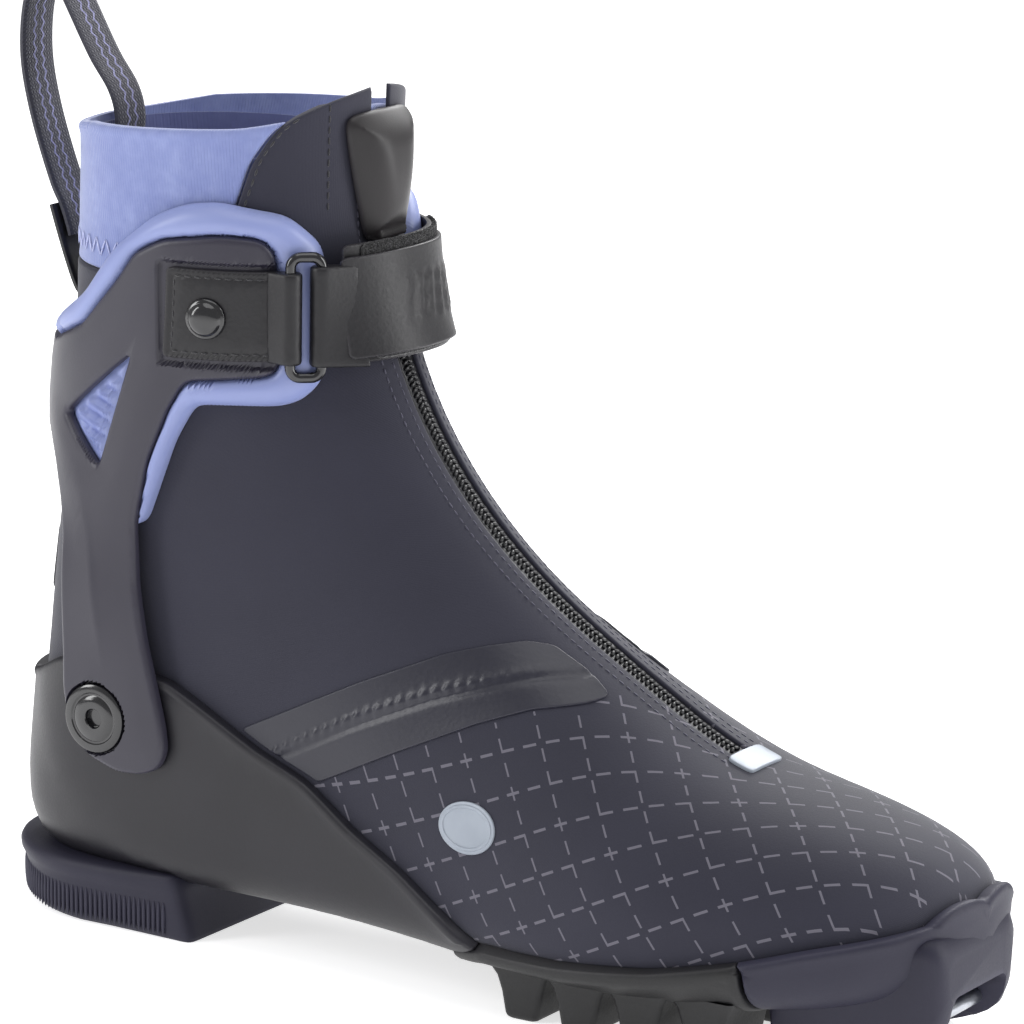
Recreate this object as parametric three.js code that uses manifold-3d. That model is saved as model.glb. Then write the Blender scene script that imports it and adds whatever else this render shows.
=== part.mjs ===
// Skate-style cross country ski boot, right foot. Millimetres, +X to the toe, -Y to the outer side, +Z up.
// The shape is drawn with X measured from the back of the heel, then moved to the origin at the end.
import * as THREE from "three";
import { mergeVertices } from "three/addons/utils/BufferGeometryUtils.js";
import Module from "manifold-3d";

const wasm = await Module();
wasm.setup();

// ---------------------------------------------------------------- driving dimensions
const ORIGIN = { x: 136.98, y: -0.63 };       // middle of the boot's footprint, in heel coordinates
const GAP = 0.35;                            // clearance between touching pieces
const UPPER_WALL = 2.5;
const SHELL_WALL = 2.7;
const CUFF_WALL = 2.5;
const SOLE_WALL = 3.4;
const PIVOT = { x: 43, z: 59 };              // ankle hinge of the cuff
const ARM_FACE = 38.3;                       // inner face of the flat lower arms, from the mid plane
const ARM_WALL = 3.0;
const ZIP_HALF_WIDTH = 6.0;
const STRAP = { low: 156.5, high: 187.5, inner: 6.1, wall: 1.4 };
const TAIL = { low: 157.5, high: 184.5, inner: 8.5, wall: 1.4 };
const RING = { width: 8.0, height: 31.0, wire: 1.4, z: 170.0, offset: 8.0 };
const BAR = { x: 271.5, z: 9.5, y: 4.0, radius: 2.0, halfLength: 21.0 };
const ROUND = 20;                            // facets around the boot form
const STATION_STEP = 0.75;                   // facets along the boot form
const DEGREE = Math.PI / 180;

// ---------------------------------------------------------------- the boot form
// Slanted slices from the toe tip to the top of the shaft. Each row gives the slice's top or front point,
// its bottom or back point, its outer and inner half widths, its sideways shift, its widest height and
// how square its sole or back side is.
const STATIONS = [
  [276.0, 33.0, 276.5, 28.0, 2.0, 2.0, 8, 0.5, 2.0],
  [276.0, 40.0, 273.5, 21.5, 17.0, 17.0, 8, 0.55, 2.6],
  [270.0, 48.0, 265.0, 17.0, 29.0, 28.0, 7, 0.6, 3.2],
  [257.0, 54.5, 250.0, 14.5, 37.5, 35.0, 5, 0.62, 3.6],
  [240.0, 59.5, 229.0, 13.0, 43.0, 40.0, 3, 0.64, 3.8],
  [223.0, 63.5, 205.0, 12.0, 46.5, 43.5, 1, 0.66, 3.8],
  [208.0, 69.5, 182.0, 12.0, 47.0, 44.5, 0, 0.68, 3.8],
  [192.5, 78.5, 158.0, 13.0, 44.0, 41.0, 0, 0.68, 4.0],
  [175.5, 88.5, 133.0, 14.5, 39.5, 36.0, 0, 0.66, 4.4],
  [158.5, 99.5, 108.0, 15.5, 36.0, 33.0, 0, 0.62, 5.2],
  [143.0, 112.0, 82.0, 16.0, 34.5, 33.0, 0, 0.58, 6.0],
  [129.0, 127.0, 53.0, 15.5, 34.0, 34.0, 0, 0.55, 6.5],
  [118.0, 143.5, 20.5, 15.0, 34.0, 34.5, 0, 0.52, 5.2],
  [110.0, 161.0, 3.0, 23.0, 34.5, 35.0, 0, 0.5, 2.4],
  [105.5, 178.0, 4.7, 59.0, 35.0, 35.5, 0, 0.5, 2.0],
  [103.5, 192.0, 10.3, 100.0, 35.5, 36.0, 0, 0.5, 2.2],
  [103.0, 204.0, 16.0, 137.0, 36.0, 36.5, 0, 0.5, 2.2],
  [103.0, 216.0, 16.5, 172.0, 36.5, 37.0, 0, 0.5, 2.1],
  [103.5, 234.0, 17.0, 220.0, 37.0, 37.5, 0, 0.5, 2.1],
];
const LAST = STATIONS.length - 1;
const TOP_ROUNDNESS = 2.2;

// Blended slice at station u, by a uniform cubic B-spline through the rows.
function sliceAt(u) {
  const index = Math.min(Math.max(Math.floor(u), 0), LAST - 1);
  const t = u - index;
  const weights = [
    (1 - t) ** 3 / 6,
    (3 * t ** 3 - 6 * t ** 2 + 4) / 6,
    (-3 * t ** 3 + 3 * t ** 2 + 3 * t + 1) / 6,
    t ** 3 / 6,
  ];
  const row = (i) => {
    if (i < 0) return STATIONS[0].map((v, k) => 2 * v - STATIONS[1][k]);
    if (i > LAST) return STATIONS[LAST].map((v, k) => 2 * v - STATIONS[LAST - 1][k]);
    return STATIONS[i];
  };
  const mix = STATIONS[0].map((_, k) => weights.reduce((sum, w, j) => sum + w * row(index - 1 + j)[k], 0));
  const [topX, topZ, bottomX, bottomZ, lateral, medial, shift, widest, squareness] = mix;
  return { topX, topZ, bottomX, bottomZ, lateral, medial, shift, widest, squareness };
}

// Point of the form: angle 0 is the front, 180 degrees the sole or back, 90 the outer side.
function formPoint(u, angle) {
  const slice = sliceAt(u);
  const c = Math.cos(angle);
  const s = Math.sin(angle);
  const power = 2 / (c >= 0 ? TOP_ROUNDNESS : slice.squareness);
  const along = Math.abs(c) ** power;
  const across = Math.abs(s) ** power;
  const depth = c >= 0 ? slice.widest * (1 - along) : slice.widest + (1 - slice.widest) * along;
  const y = slice.shift + (s >= 0 ? -slice.lateral : slice.medial) * across;
  return new THREE.Vector3(
    slice.topX + (slice.bottomX - slice.topX) * depth,
    y,
    slice.topZ + (slice.bottomZ - slice.topZ) * depth,
  );
}

// Point at a distance outside the form (negative is inside).
function offsetPoint(u, angle, offset) {
  const h = 0.01;
  const along = formPoint(u + h, angle).sub(formPoint(u - h, angle));
  const around = formPoint(u, angle + h).sub(formPoint(u, angle - h));
  const normal = along.cross(around).normalize();
  return formPoint(u, angle).addScaledVector(normal, offset);
}

// Angle of the point that lies y millimetres from the slice's middle, on the front or the sole side.
function angleAcross(u, y, side) {
  const slice = sliceAt(u);
  const share = Math.min(Math.abs(y) / (y < 0 ? slice.lateral : slice.medial), 1);
  const exponent = side === "front" ? TOP_ROUNDNESS : slice.squareness;
  const tilt = Math.asin(share ** (exponent / 2));
  const outer = side === "front" ? tilt : Math.PI - tilt;
  return y < 0 ? outer : -outer;
}

// Station at which the form's surface passes height z, for one angle of the shaft.
function stationAtHeight(z, angle) {
  let low = 9;
  let high = LAST;
  for (let i = 0; i < 24; i += 1) {
    const middle = (low + high) / 2;
    if (formPoint(middle, angle).z < z) low = middle;
    else high = middle;
  }
  return (low + high) / 2;
}

// ---------------------------------------------------------------- solids
function solidFrom(geometry) {
  const bare = geometry.clone();
  bare.deleteAttribute("normal");
  bare.deleteAttribute("uv");
  const merged = mergeVertices(bare, 1e-4);
  const mesh = new wasm.Mesh({
    numProp: 3,
    vertProperties: new Float32Array(merged.attributes.position.array),
    triVerts: new Uint32Array(merged.index.array),
  });
  return new wasm.Manifold(mesh);
}

function geometryFrom(solid) {
  const { vertProperties, triVerts } = solid.getMesh();
  const geometry = new THREE.BufferGeometry();
  geometry.setAttribute("position", new THREE.BufferAttribute(vertProperties, 3));
  geometry.setIndex(new THREE.BufferAttribute(triVerts, 1));
  return geometry;
}

// Closed solid from vertices and triangles, turned the right way out.
function solidFromFaces(points, faces) {
  const volume = faces.reduce((sum, [a, b, c]) => {
    return sum + points[a].dot(new THREE.Vector3().crossVectors(points[b], points[c])) / 6;
  }, 0);
  const geometry = new THREE.BufferGeometry().setFromPoints(points);
  geometry.setIndex(faces.flatMap(([a, b, c]) => (volume < 0 ? [a, c, b] : [a, b, c])));
  return solidFrom(geometry);
}

// The whole form grown by an offset, closed at the toe and at the top.
const formCache = new Map();
function formSolid(offset, reshape = (point) => point) {
  const key = `${offset} ${reshape}`;
  if (formCache.has(key)) return formCache.get(key);
  const first = offset < 0 ? STATION_STEP : 0;
  const rings = Math.round((LAST - first) / STATION_STEP) + 1;
  const points = [];
  for (let i = 0; i < rings; i += 1) {
    const u = Math.min(first + i * STATION_STEP, LAST);
    for (let j = 0; j < ROUND; j += 1) {
      points.push(reshape(offsetPoint(u, (j / ROUND) * 2 * Math.PI, offset)));
    }
  }
  const faces = [];
  for (let i = 0; i < rings - 1; i += 1) {
    for (let j = 0; j < ROUND; j += 1) {
      const a = i * ROUND + j;
      const b = i * ROUND + ((j + 1) % ROUND);
      faces.push([a, b, b + ROUND], [a, b + ROUND, a + ROUND]);
    }
  }
  const centre = (start) => points.slice(start, start + ROUND)
    .reduce((sum, p) => sum.add(p), new THREE.Vector3()).divideScalar(ROUND);
  const lastRing = (rings - 1) * ROUND;
  points.push(centre(0), centre(lastRing));
  for (let j = 0; j < ROUND; j += 1) {
    const next = (j + 1) % ROUND;
    faces.push([rings * ROUND, next, j], [rings * ROUND + 1, lastRing + j, lastRing + next]);
  }
  const solid = solidFromFaces(points, faces);
  formCache.set(key, solid);
  return solid;
}

const layer = (inner, outer) => formSolid(outer).subtract(formSolid(inner));

// Slab with a grid of columns by rows; point(s, t, k) gives its inner (k = 0) and outer (k = 1) faces.
function slab(columns, rows, point) {
  const points = [];
  const at = (i, j, k) => (i * (rows + 1) + j) * 2 + k;
  for (let i = 0; i <= columns; i += 1) {
    for (let j = 0; j <= rows; j += 1) {
      points.push(point(i / columns, j / rows, 0), point(i / columns, j / rows, 1));
    }
  }
  const faces = [];
  const quad = (a, b, c, d) => faces.push([a, b, c], [a, c, d]);
  for (let i = 0; i < columns; i += 1) {
    for (let j = 0; j < rows; j += 1) {
      quad(at(i, j, 0), at(i, j + 1, 0), at(i + 1, j + 1, 0), at(i + 1, j, 0));
      quad(at(i, j, 1), at(i + 1, j, 1), at(i + 1, j + 1, 1), at(i, j + 1, 1));
    }
    quad(at(i, 0, 0), at(i + 1, 0, 0), at(i + 1, 0, 1), at(i, 0, 1));
    quad(at(i, rows, 0), at(i, rows, 1), at(i + 1, rows, 1), at(i + 1, rows, 0));
  }
  for (let j = 0; j < rows; j += 1) {
    quad(at(0, j, 0), at(0, j, 1), at(0, j + 1, 1), at(0, j + 1, 0));
    quad(at(columns, j, 0), at(columns, j + 1, 0), at(columns, j + 1, 1), at(columns, j, 1));
  }
  return solidFromFaces(points, faces);
}

// Band along the front line or the sole line; width(slice, s) gives its two half widths.
function band(side, uStart, uEnd, width, inner, outer, columns, rows = 4) {
  return slab(columns, rows, (s, t, k) => {
    const u = THREE.MathUtils.lerp(uStart, uEnd, s);
    const [lateral, medial] = width(sliceAt(u), s);
    const y = THREE.MathUtils.lerp(-lateral, medial, t);
    return offsetPoint(u, angleAcross(u, y, side), k ? outer(s) : inner(s));
  });
}

const always = (value) => () => value;
const evenWidth = (half) => () => [half, half];

// Band around the shaft between two angles (degrees, negative on the inner side) and two heights.
function wrap(from, to, low, high, inner, wall, columns, rows = 2) {
  return slab(columns, rows, (s, t, k) => {
    const angle = THREE.MathUtils.lerp(from, to, s) * DEGREE;
    const u = stationAtHeight(THREE.MathUtils.lerp(low, high, t), angle);
    return offsetPoint(u, angle, inner + (k ? wall : 0));
  });
}

const shapeOf = (points) => new THREE.Shape(points.map(([a, b]) => new THREE.Vector2(a, b)));

// Prism with a side-view outline [x, z], between two y values.
function sideBlock(points, y0 = -90, y1 = 90) {
  const geometry = new THREE.ExtrudeGeometry(shapeOf(points), { depth: y1 - y0, bevelEnabled: false });
  return solidFrom(geometry.rotateX(Math.PI / 2).translate(0, y1, 0));
}

// Prism with a plan outline [x, y], between two heights.
function planBlock(shape, z0, z1) {
  const geometry = new THREE.ExtrudeGeometry(shape, { depth: z1 - z0, bevelEnabled: false, curveSegments: 10 });
  return solidFrom(geometry.translate(0, 0, z0));
}

// Round solid with its axis along Y: profile [radius, y] starts and ends on the axis.
function turned(profile, x, z, segments = 20) {
  const points = profile.map(([r, y]) => new THREE.Vector2(r, y));
  return solidFrom(new THREE.LatheGeometry(points, segments).translate(x, 0, z));
}

const pin = (x, z, radius, y0, y1, segments = 16) =>
  turned([[0, y0], [radius, y0], [radius, y1], [0, y1]], x, z, segments);

// Round solid that stands on the shaft's surface: profile [radius, height above the form].
function stud(angle, z, profile, segments = 20) {
  const u = stationAtHeight(z, angle * DEGREE);
  const foot = offsetPoint(u, angle * DEGREE, 0);
  const outward = offsetPoint(u, angle * DEGREE, 1).sub(foot).normalize();
  const turn = new THREE.Quaternion().setFromUnitVectors(new THREE.Vector3(0, 1, 0), outward);
  const points = profile.map(([r, height]) => new THREE.Vector2(r, height));
  return solidFrom(new THREE.LatheGeometry(points, segments).applyQuaternion(turn).translate(foot.x, foot.y, foot.z));
}

const boot = new THREE.Group();

function add(name, solid, color, roughness, metalness = 0) {
  const material = new THREE.MeshStandardMaterial({ color, roughness, metalness });
  const mesh = new THREE.Mesh(geometryFrom(solid), material);
  mesh.name = name;
  boot.add(mesh);
}

const COLOUR = {
  softshell: 0x35323f, knit: 0x8f9cd6, blackPlastic: 0x17171a, cuff: 0x2b2a35, rubber: 0x262a3c,
  leather: 0x1c1b1e, webbing: 0x3b3b46, garage: 0x2c292b, steel: 0xb8bcc4, gloss: 0x0c0c0e,
  coil: 0x1b1a1f, foam: 0x55565e, silver: 0xb9bcc6,
};

// ---------------------------------------------------------------- outlines in side view [x, z]
const SHELL_TOP = [
  [-12, 63], [8, 64], [18, 67.5], [28, 73], [63, 71], [73, 66], [90, 57], [106, 51],
  [121, 41], [138, 33], [151, 25], [162, 16.5],
];
const SHELL_FRONT = [[150, 5], [150, -10]];
const SOLE_TOP = [[163, 16.2], [187, 18], [213, 21], [236, 26], [254, 31], [269, 34.5], [277, 38.5]];
const TOE_PIECE_START = 236;
const ROOT_EDGE = [[-12, 67.4], [24.6, 67.4], [24.6, 77.3], [40, 77.3], [62, 71.8], [87.7, 71.8], [210, 106.9]];
const FLEX_LOW = [[41, 78.2], [62.3, 72.3], [87.8, 72.3], [210, 107.4]];
const SHAFT_LOW = [[210, 220.3], [64.2, 80.2], [-12, 80.2]];
const COLLAR_EDGE = [[-12, 176], [40, 176], [79, 192], [84, 208], [89, 216], [91.6, 218.2]];
const RIM = [[140, 229], [103, 225.5], [93, 219.5], [82, 216.5], [66, 215.5], [32, 213.5], [-12, 211]];
const CUFF_PLATE = [
  [-12, 156], [23, 157], [36, 162.5], [49, 175.5], [55.5, 183.8], [64, 187.9], [80, 190], [90, 189.4],
  [92.8, 185.8], [93.4, 175], [94, 158], [93, 154.8], [89.5, 153.6], [70, 151.5], [65, 143.7], [58.5, 129.2],
  [54.8, 112.9], [55.6, 96], [58, 82], [63.8, 60], [64.8, 53], [62.5, 48], [57, 45.6], [49.5, 45.2],
  [40, 48.5], [34, 54.5], [32, 66], [32, 76], [31.5, 92], [30, 105], [26.7, 117], [24, 124.5], [19.5, 131],
  [10, 134], [-12, 135],
];
const CUFF_LINER = [
  [-12, 160], [20, 161], [36, 171], [47, 184], [60, 193.5], [69, 197], [78, 198], [94, 195], [100, 188],
  [102, 173], [102, 153], [98, 148], [93, 146], [71, 145], [65, 135], [56, 112], [38, 108], [29, 122],
  [20, 134], [10, 137], [-12, 138],
];
const CUFF_WINDOW = [[54, 157], [29, 138.2], [42.8, 125.9]];
const POCKET = [[63.2, 182.8], [110, 182.8], [110, 156], [63.2, 156]];

// ---------------------------------------------------------------- sole unit
const SOLE_LOW = -10;
const bootInside = formSolid(GAP);

function makeHeelTread() {
  const outline = new THREE.Shape();
  outline.moveTo(72, -33.5);
  outline.lineTo(33, -33.5);
  outline.absellipse(33, 0, 34, 33.5, -Math.PI / 2, Math.PI / 2, true);
  outline.lineTo(72, 33.5);
  const side = sideBlock([[-12, 11], [-1, 6.5], [8, 3], [19, 0.7], [32, 0], [68.5, 0], [62, 20], [-12, 20]]);
  const groove = sideBlock([[-12, -1], [80, -1], [80, 3.5], [-12, 3.5]], -4, 8);
  return planBlock(outline, 0, 17.5).intersect(side)
    .subtract(formSolid(GAP * 2 + SHELL_WALL)).subtract(groove);
}

function bottomSlice(x) {
  let low = 0;
  let high = 12;
  for (let i = 0; i < 20; i += 1) {
    const middle = (low + high) / 2;
    if (sliceAt(middle).bottomX > x) low = middle;
    else high = middle;
  }
  return sliceAt(low);
}

function makeOutsole() {
  const outline = [
    [150.5, SOLE_LOW], [150.5, 5], ...SOLE_TOP.filter(([x]) => x < TOE_PIECE_START),
    [TOE_PIECE_START, 26], [TOE_PIECE_START, SOLE_LOW],
  ];
  let sole = formSolid(SOLE_WALL + GAP).intersect(sideBlock(outline));
  const lugPitch = 17;
  for (let row = 0; row < 4; row += 1) {
    const x = 173 + row * lugPitch;
    const slice = bottomSlice(x);
    const columns = [[-slice.lateral + 7, -13], [-5, 9], [17, slice.medial - 6]];
    for (const [y0, y1] of columns) {
      sole = sole.add(sideBlock([[x - 7, 12.5], [x + 7, 12.5], [x + 4.5, 0], [x - 4.5, 0]], y0, y1));
    }
  }
  return sole.subtract(bootInside);
}

function makeToePiece() {
  const start = TOE_PIECE_START + GAP;
  const rand = sideBlock([[start, SOLE_LOW], [start, 26.2], ...SOLE_TOP.slice(4), [290, 42], [290, SOLE_LOW]]);
  const skin = formSolid(SOLE_WALL + GAP).intersect(rand);
  const block = sideBlock([[start, 0], [262, 0], [274, 5], [279, 12], [280, 26], [277, 34], [255, 30], [start, 22]],
    BAR.y - 23, BAR.y + 23);
  const nose = sideBlock([[start, 0], [start, 20], [266, 26], [266, 2], [262, 0]], BAR.y - 31, BAR.y + 31);
  const binding = sideBlock([[256, -5], [256, 15], [266, 19], [290, 19], [290, -5]], BAR.y - 14.5, BAR.y + 14.5);
  const guide = (y) => sideBlock([[230, -5], [230, 5], [270, 5], [270, -5]], y - 4, y + 4);
  return skin.add(block).add(nose.intersect(formSolid(6))).subtract(bootInside).subtract(binding)
    .subtract(guide(BAR.y - 11)).subtract(guide(BAR.y + 11))
    .subtract(pin(BAR.x, BAR.z, BAR.radius + GAP, BAR.y - BAR.halfLength - GAP, BAR.y + BAR.halfLength + GAP));
}

const toeBar = pin(BAR.x, BAR.z, BAR.radius, BAR.y - BAR.halfLength, BAR.y + BAR.halfLength);

function makeHeelShell() {
  const outline = [...SHELL_TOP, ...SHELL_FRONT, [-12, -10]];
  return layer(GAP, GAP + SHELL_WALL).intersect(sideBlock(outline))
    .subtract(pin(PIVOT.x, PIVOT.z, 4.3, -80, 80));
}

const soleShare = (share) => (slice) => [slice.lateral * share, slice.medial * share];
const insoleBoard = band("sole", 1.6, 11.9, soleShare(0.62), always(-5.8), always(-4.0), 14);
const footbed = band("sole", 1.6, 11.9, soleShare(0.62), always(-9.8), always(-6.4), 14);

add("heel_tread", makeHeelTread(), COLOUR.rubber, 0.6);
add("outsole", makeOutsole(), COLOUR.blackPlastic, 0.6);
add("toe_piece", makeToePiece(), COLOUR.rubber, 0.45);
add("toe_bar", toeBar, COLOUR.steel, 0.25, 1);
add("heel_shell", makeHeelShell(), COLOUR.blackPlastic, 0.42);
add("insole_board", insoleBoard, COLOUR.foam, 0.9);
add("footbed", footbed, COLOUR.foam, 0.95);

// ---------------------------------------------------------------- soft upper
const ZIP_START = 5.75;
const ZIP_ROOT_END = 8.5;
const ZIP_CUFF_START = 11.75;
const ZIP_TOP = 15.4;
const zipChannel = band("front", ZIP_START, LAST, evenWidth(ZIP_HALF_WIDTH + GAP), always(-7), always(4), 22, 2);
const fabric = layer(-UPPER_WALL, 0).subtract(zipChannel);
const pivotRelief = pin(PIVOT.x, PIVOT.z, 8.5, -80, 80);
const rootRegion = sideBlock([...ROOT_EDGE, [300, 115], [300, -10], [-12, -10]]);
const vampRegion = (gap) => sideBlock([[149 + gap, -10], [149 + gap, 12], [190 + gap, 124], [300, 124], [300, -10]]);
const outerSide = sideBlock([[-20, -20], [300, -20], [300, 260], [-20, 260]], -90, -GAP / 2);
const innerSide = sideBlock([[-20, -20], [300, -20], [300, 260], [-20, 260]], GAP / 2, 90);

const vamp = layer(-UPPER_WALL, 0).subtract(zipChannel).intersect(rootRegion).intersect(vampRegion(GAP));
const quarters = fabric.intersect(rootRegion).subtract(vampRegion(0)).subtract(pivotRelief);
const flexRegion = sideBlock([...FLEX_LOW, [210, 219.5], [64.4, 79.8], [45, 79.8]]);
const flexes = fabric.intersect(flexRegion);
const rearFlexRegion = sideBlock([[-12, 67.8], [24.3, 67.8], [24.3, 79.8], [-12, 79.8]]);

add("vamp", vamp, COLOUR.softshell, 0.8);
add("quarter_outer", quarters.intersect(outerSide), COLOUR.softshell, 0.8);
add("quarter_inner", quarters.intersect(innerSide), COLOUR.softshell, 0.8);
add("ankle_flex_outer", flexes.intersect(outerSide), COLOUR.softshell, 0.8);
add("ankle_flex_inner", flexes.intersect(innerSide), COLOUR.softshell, 0.8);
add("ankle_flex_rear", layer(-UPPER_WALL, 0).intersect(rearFlexRegion), COLOUR.softshell, 0.8);

const shaftRegion = sideBlock([...SHAFT_LOW, ...COLLAR_EDGE.map(([x, z]) => [x + GAP, z - GAP]), [93, 219.5],
  ...RIM.slice(0, 2).reverse()]);
const shafts = fabric.intersect(shaftRegion);
add("shaft_outer", shafts.intersect(outerSide), COLOUR.softshell, 0.8);
add("shaft_inner", shafts.intersect(innerSide), COLOUR.softshell, 0.8);
const collarRegion = sideBlock([...COLLAR_EDGE, ...RIM.slice(3)]);
add("collar", layer(-UPPER_WALL, 0).intersect(collarRegion), COLOUR.knit, 0.9);

const tongueWidth = (slice, s) => [22 - 4 * s, 22 - 4 * s];
add("tongue", band("front", 5.4, ZIP_ROOT_END, tongueWidth, always(-6.4), always(-3.5), 6), COLOUR.softshell, 0.9);
add("shin_gusset", band("front", ZIP_CUFF_START, 17.2, evenWidth(18), always(-6.4), always(-3.5), 9),
  COLOUR.knit, 0.9);

// Thin plate on the fabric, with a side-view outline, on one side of the boot.
function sidePlate(outline, side, inner, outer) {
  return layer(inner, outer).intersect(sideBlock(outline)).intersect(side);
}
const SADDLE_BAND = [
  [84.6, 61.1], [119.4, 78.5], [142, 88.4], [152, 91.1], [160, 92.7], [166, 92.4], [176, 87], [185, 81], [181, 80],
  [168, 77.9], [155, 73.2], [132.5, 62.7], [108.9, 50.9], [106.6, 52.1], [90.5, 58.1],
];
const bandRegion = (side) => sidePlate(SADDLE_BAND, side, GAP, 0.95).subtract(zipChannel);
add("saddle_band_outer", bandRegion(outerSide), COLOUR.cuff, 0.35);
add("saddle_band_inner", bandRegion(innerSide), COLOUR.cuff, 0.35);
const sidePatchOutline = new THREE.Shape();
sidePatchOutline.absellipse(157, 48, 9, 6.5, 0, Math.PI * 2, false);
const sidePatch = sidePlate(sidePatchOutline.getPoints(6).slice(1).map((p) => [p.x, p.y]), outerSide, GAP, 0.95);
add("side_patch", sidePatch, COLOUR.silver, 0.3);

// ---------------------------------------------------------------- zip
const zipStrip = (from, to, columns) =>
  band("front", from, to, evenWidth(ZIP_HALF_WIDTH), always(-2.2), always(0), columns, 2);
add("zip_lower", zipStrip(ZIP_START + 0.02, ZIP_ROOT_END, 6), COLOUR.coil, 0.4);
add("zip_flex", zipStrip(ZIP_ROOT_END + 0.03, ZIP_CUFF_START - 0.03, 6), COLOUR.coil, 0.4);
add("zip_upper", zipStrip(ZIP_CUFF_START, ZIP_TOP, 8), COLOUR.coil, 0.4);
add("zip_end_patch", band("front", 5.25, 5.68, evenWidth(8), always(GAP), always(1), 2), COLOUR.silver, 0.4);

const SLIDER_STATION = 14.45;
const sliderBody = band("front", SLIDER_STATION - 0.33, SLIDER_STATION + 0.33, evenWidth(4.2),
  always(0.8), always(2.9), 2, 2);
add("zip_slider", sliderBody, COLOUR.steel, 0.3, 1);
add("zip_pull", band("front", SLIDER_STATION - 1.05, SLIDER_STATION - 0.02, evenWidth(2.6),
  always(3.25), always(4.5), 3, 2), COLOUR.gloss, 0.35);

const garageSwell = (s) => 3 + 4.6 * Math.sin(Math.PI * Math.min(0.18 + 0.64 * s, 0.9));
const garageHood = (s) => (s < 0.14 ? 3.4 : 0.8);
const garageWidth = (slice, s) => [8 + 6 * s, 7 + 6 * s];
const garage = band("front", 14.66, 17.22, garageWidth, garageHood, garageSwell, 9, 6);
add("zip_garage", garage, COLOUR.garage, 0.35);

// ---------------------------------------------------------------- cuff
// Below the ankle blend the cuff's arms are flat plates that stand clear of the heel shell.
function flatArms(face) {
  return (point) => {
    const flatness = 1 - THREE.MathUtils.smoothstep(point.z, 88, 116);
    const reach = Math.abs(point.y);
    if (reach < 20) return point;
    const target = Math.max(reach, face);
    point.y = Math.sign(point.y) * THREE.MathUtils.lerp(reach, target, flatness);
    return point;
  };
}
const CUFF_INNER = 2 * GAP + SHELL_WALL;
const cuffOutside = formSolid(CUFF_INNER + CUFF_WALL, flatArms(ARM_FACE + ARM_WALL));
const cuffInside = formSolid(CUFF_INNER, flatArms(ARM_FACE));
const window = sideBlock(CUFF_WINDOW);
const RIVET = { angle: 70, z: 169, shank: 2.2 };
const rivetHole = (radius) => stud(RIVET.angle, RIVET.z, [[0, -9], [radius, -9], [radius, 20], [0, 20]], 14);
const pocket = sideBlock(POCKET, -90, 0).subtract(formSolid(CUFF_INNER + 1.2));

function makeCuffShell() {
  return cuffOutside.subtract(cuffInside).intersect(sideBlock(CUFF_PLATE)).subtract(window).subtract(pocket)
    .subtract(rivetHole(RIVET.shank + GAP))
    .subtract(pin(PIVOT.x, PIVOT.z, 4.3, -80, 80))
    .subtract(pin(PIVOT.x, PIVOT.z, 9.7, -80, -ARM_FACE - 1.5))
    .subtract(pin(PIVOT.x, PIVOT.z, 9.7, ARM_FACE + 1.5, 80));
}
add("cuff_shell", makeCuffShell(), COLOUR.cuff, 0.4);
const linerLayer = layer(GAP, GAP + SHELL_WALL - 0.05);
add("cuff_liner", linerLayer.intersect(sideBlock(CUFF_LINER)).subtract(rivetHole(5.5)), COLOUR.knit, 0.5);

// Hinge screws with a hexagon socket, and the nuts inside the shell.
function hingeScrew(side) {
  const face = ARM_FACE + ARM_WALL;
  const profile = [[0, 32.3], [3.9, 32.3], [3.9, face - 1.2], [9.2, face - 1.2], [9.2, face - 0.1], [8.4, face + 0.3],
    [0, face + 0.3]].map(([r, y]) => [r, side * y]);
  const socket = solidFrom(new THREE.CylinderGeometry(2.3, 2.3, 4, 6).translate(PIVOT.x, side * (face - 0.4), PIVOT.z));
  return turned(side < 0 ? profile.reverse() : profile, PIVOT.x, PIVOT.z, 24).subtract(socket);
}
const hingeNut = (side) => {
  const [from, to] = side < 0 ? [-31.8, -30.2] : [30.2, 31.8];
  return pin(PIVOT.x, PIVOT.z, 6.5, from, to, 20);
};
add("hinge_screw_outer", hingeScrew(-1), COLOUR.gloss, 0.3);
add("hinge_screw_inner", hingeScrew(1), COLOUR.gloss, 0.3);
add("hinge_nut_outer", hingeNut(-1), COLOUR.steel, 0.4, 1);
add("hinge_nut_inner", hingeNut(1), COLOUR.steel, 0.4, 1);

const rearStrip = sideBlock([[-12, 81], [30, 81], [30, 99.5], [-12, 99.5]], -11, 11);
add("achilles_strip", layer(GAP, 2.2).intersect(rearStrip), COLOUR.blackPlastic, 0.5);
// The tab leans back from the collar, and a webbing loop runs from it over the top and down inside the collar.
const TAB_ROUTE = [[14.9, 163], [13, 165.5], [10.6, 171], [7.8, 178.5], [5.2, 186]];
const LOOP_ROUTE = [
  [10.3, 178], [9.4, 181], [7.4, 186], [4, 192.5], [-2, 209], [-5.18, 224], [-4.4, 238], [-0.5, 246.5], [4.8, 246],
  [8.8, 239.5], [16.6, 226.3], [22.7, 218], [25, 211], [24.6, 203],
];
function webbing(route, halfWidth, wall, steps) {
  const curve = new THREE.CatmullRomCurve3(route.map(([x, z]) => new THREE.Vector3(x, 0, z)));
  return slab(steps, 1, (s, t, k) => {
    const tangent = curve.getTangent(s);
    const side = new THREE.Vector3(-tangent.z, 0, tangent.x).multiplyScalar((k - 0.5) * wall);
    return curve.getPoint(s).add(side).setY((t - 0.5) * 2 * halfWidth);
  });
}
add("heel_tab", webbing(TAB_ROUTE, 8, 1.6, 10), COLOUR.leather, 0.5);
add("pull_loop", webbing(LOOP_ROUTE, 6.5, 1.6, 30), COLOUR.webbing, 0.85);

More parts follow.
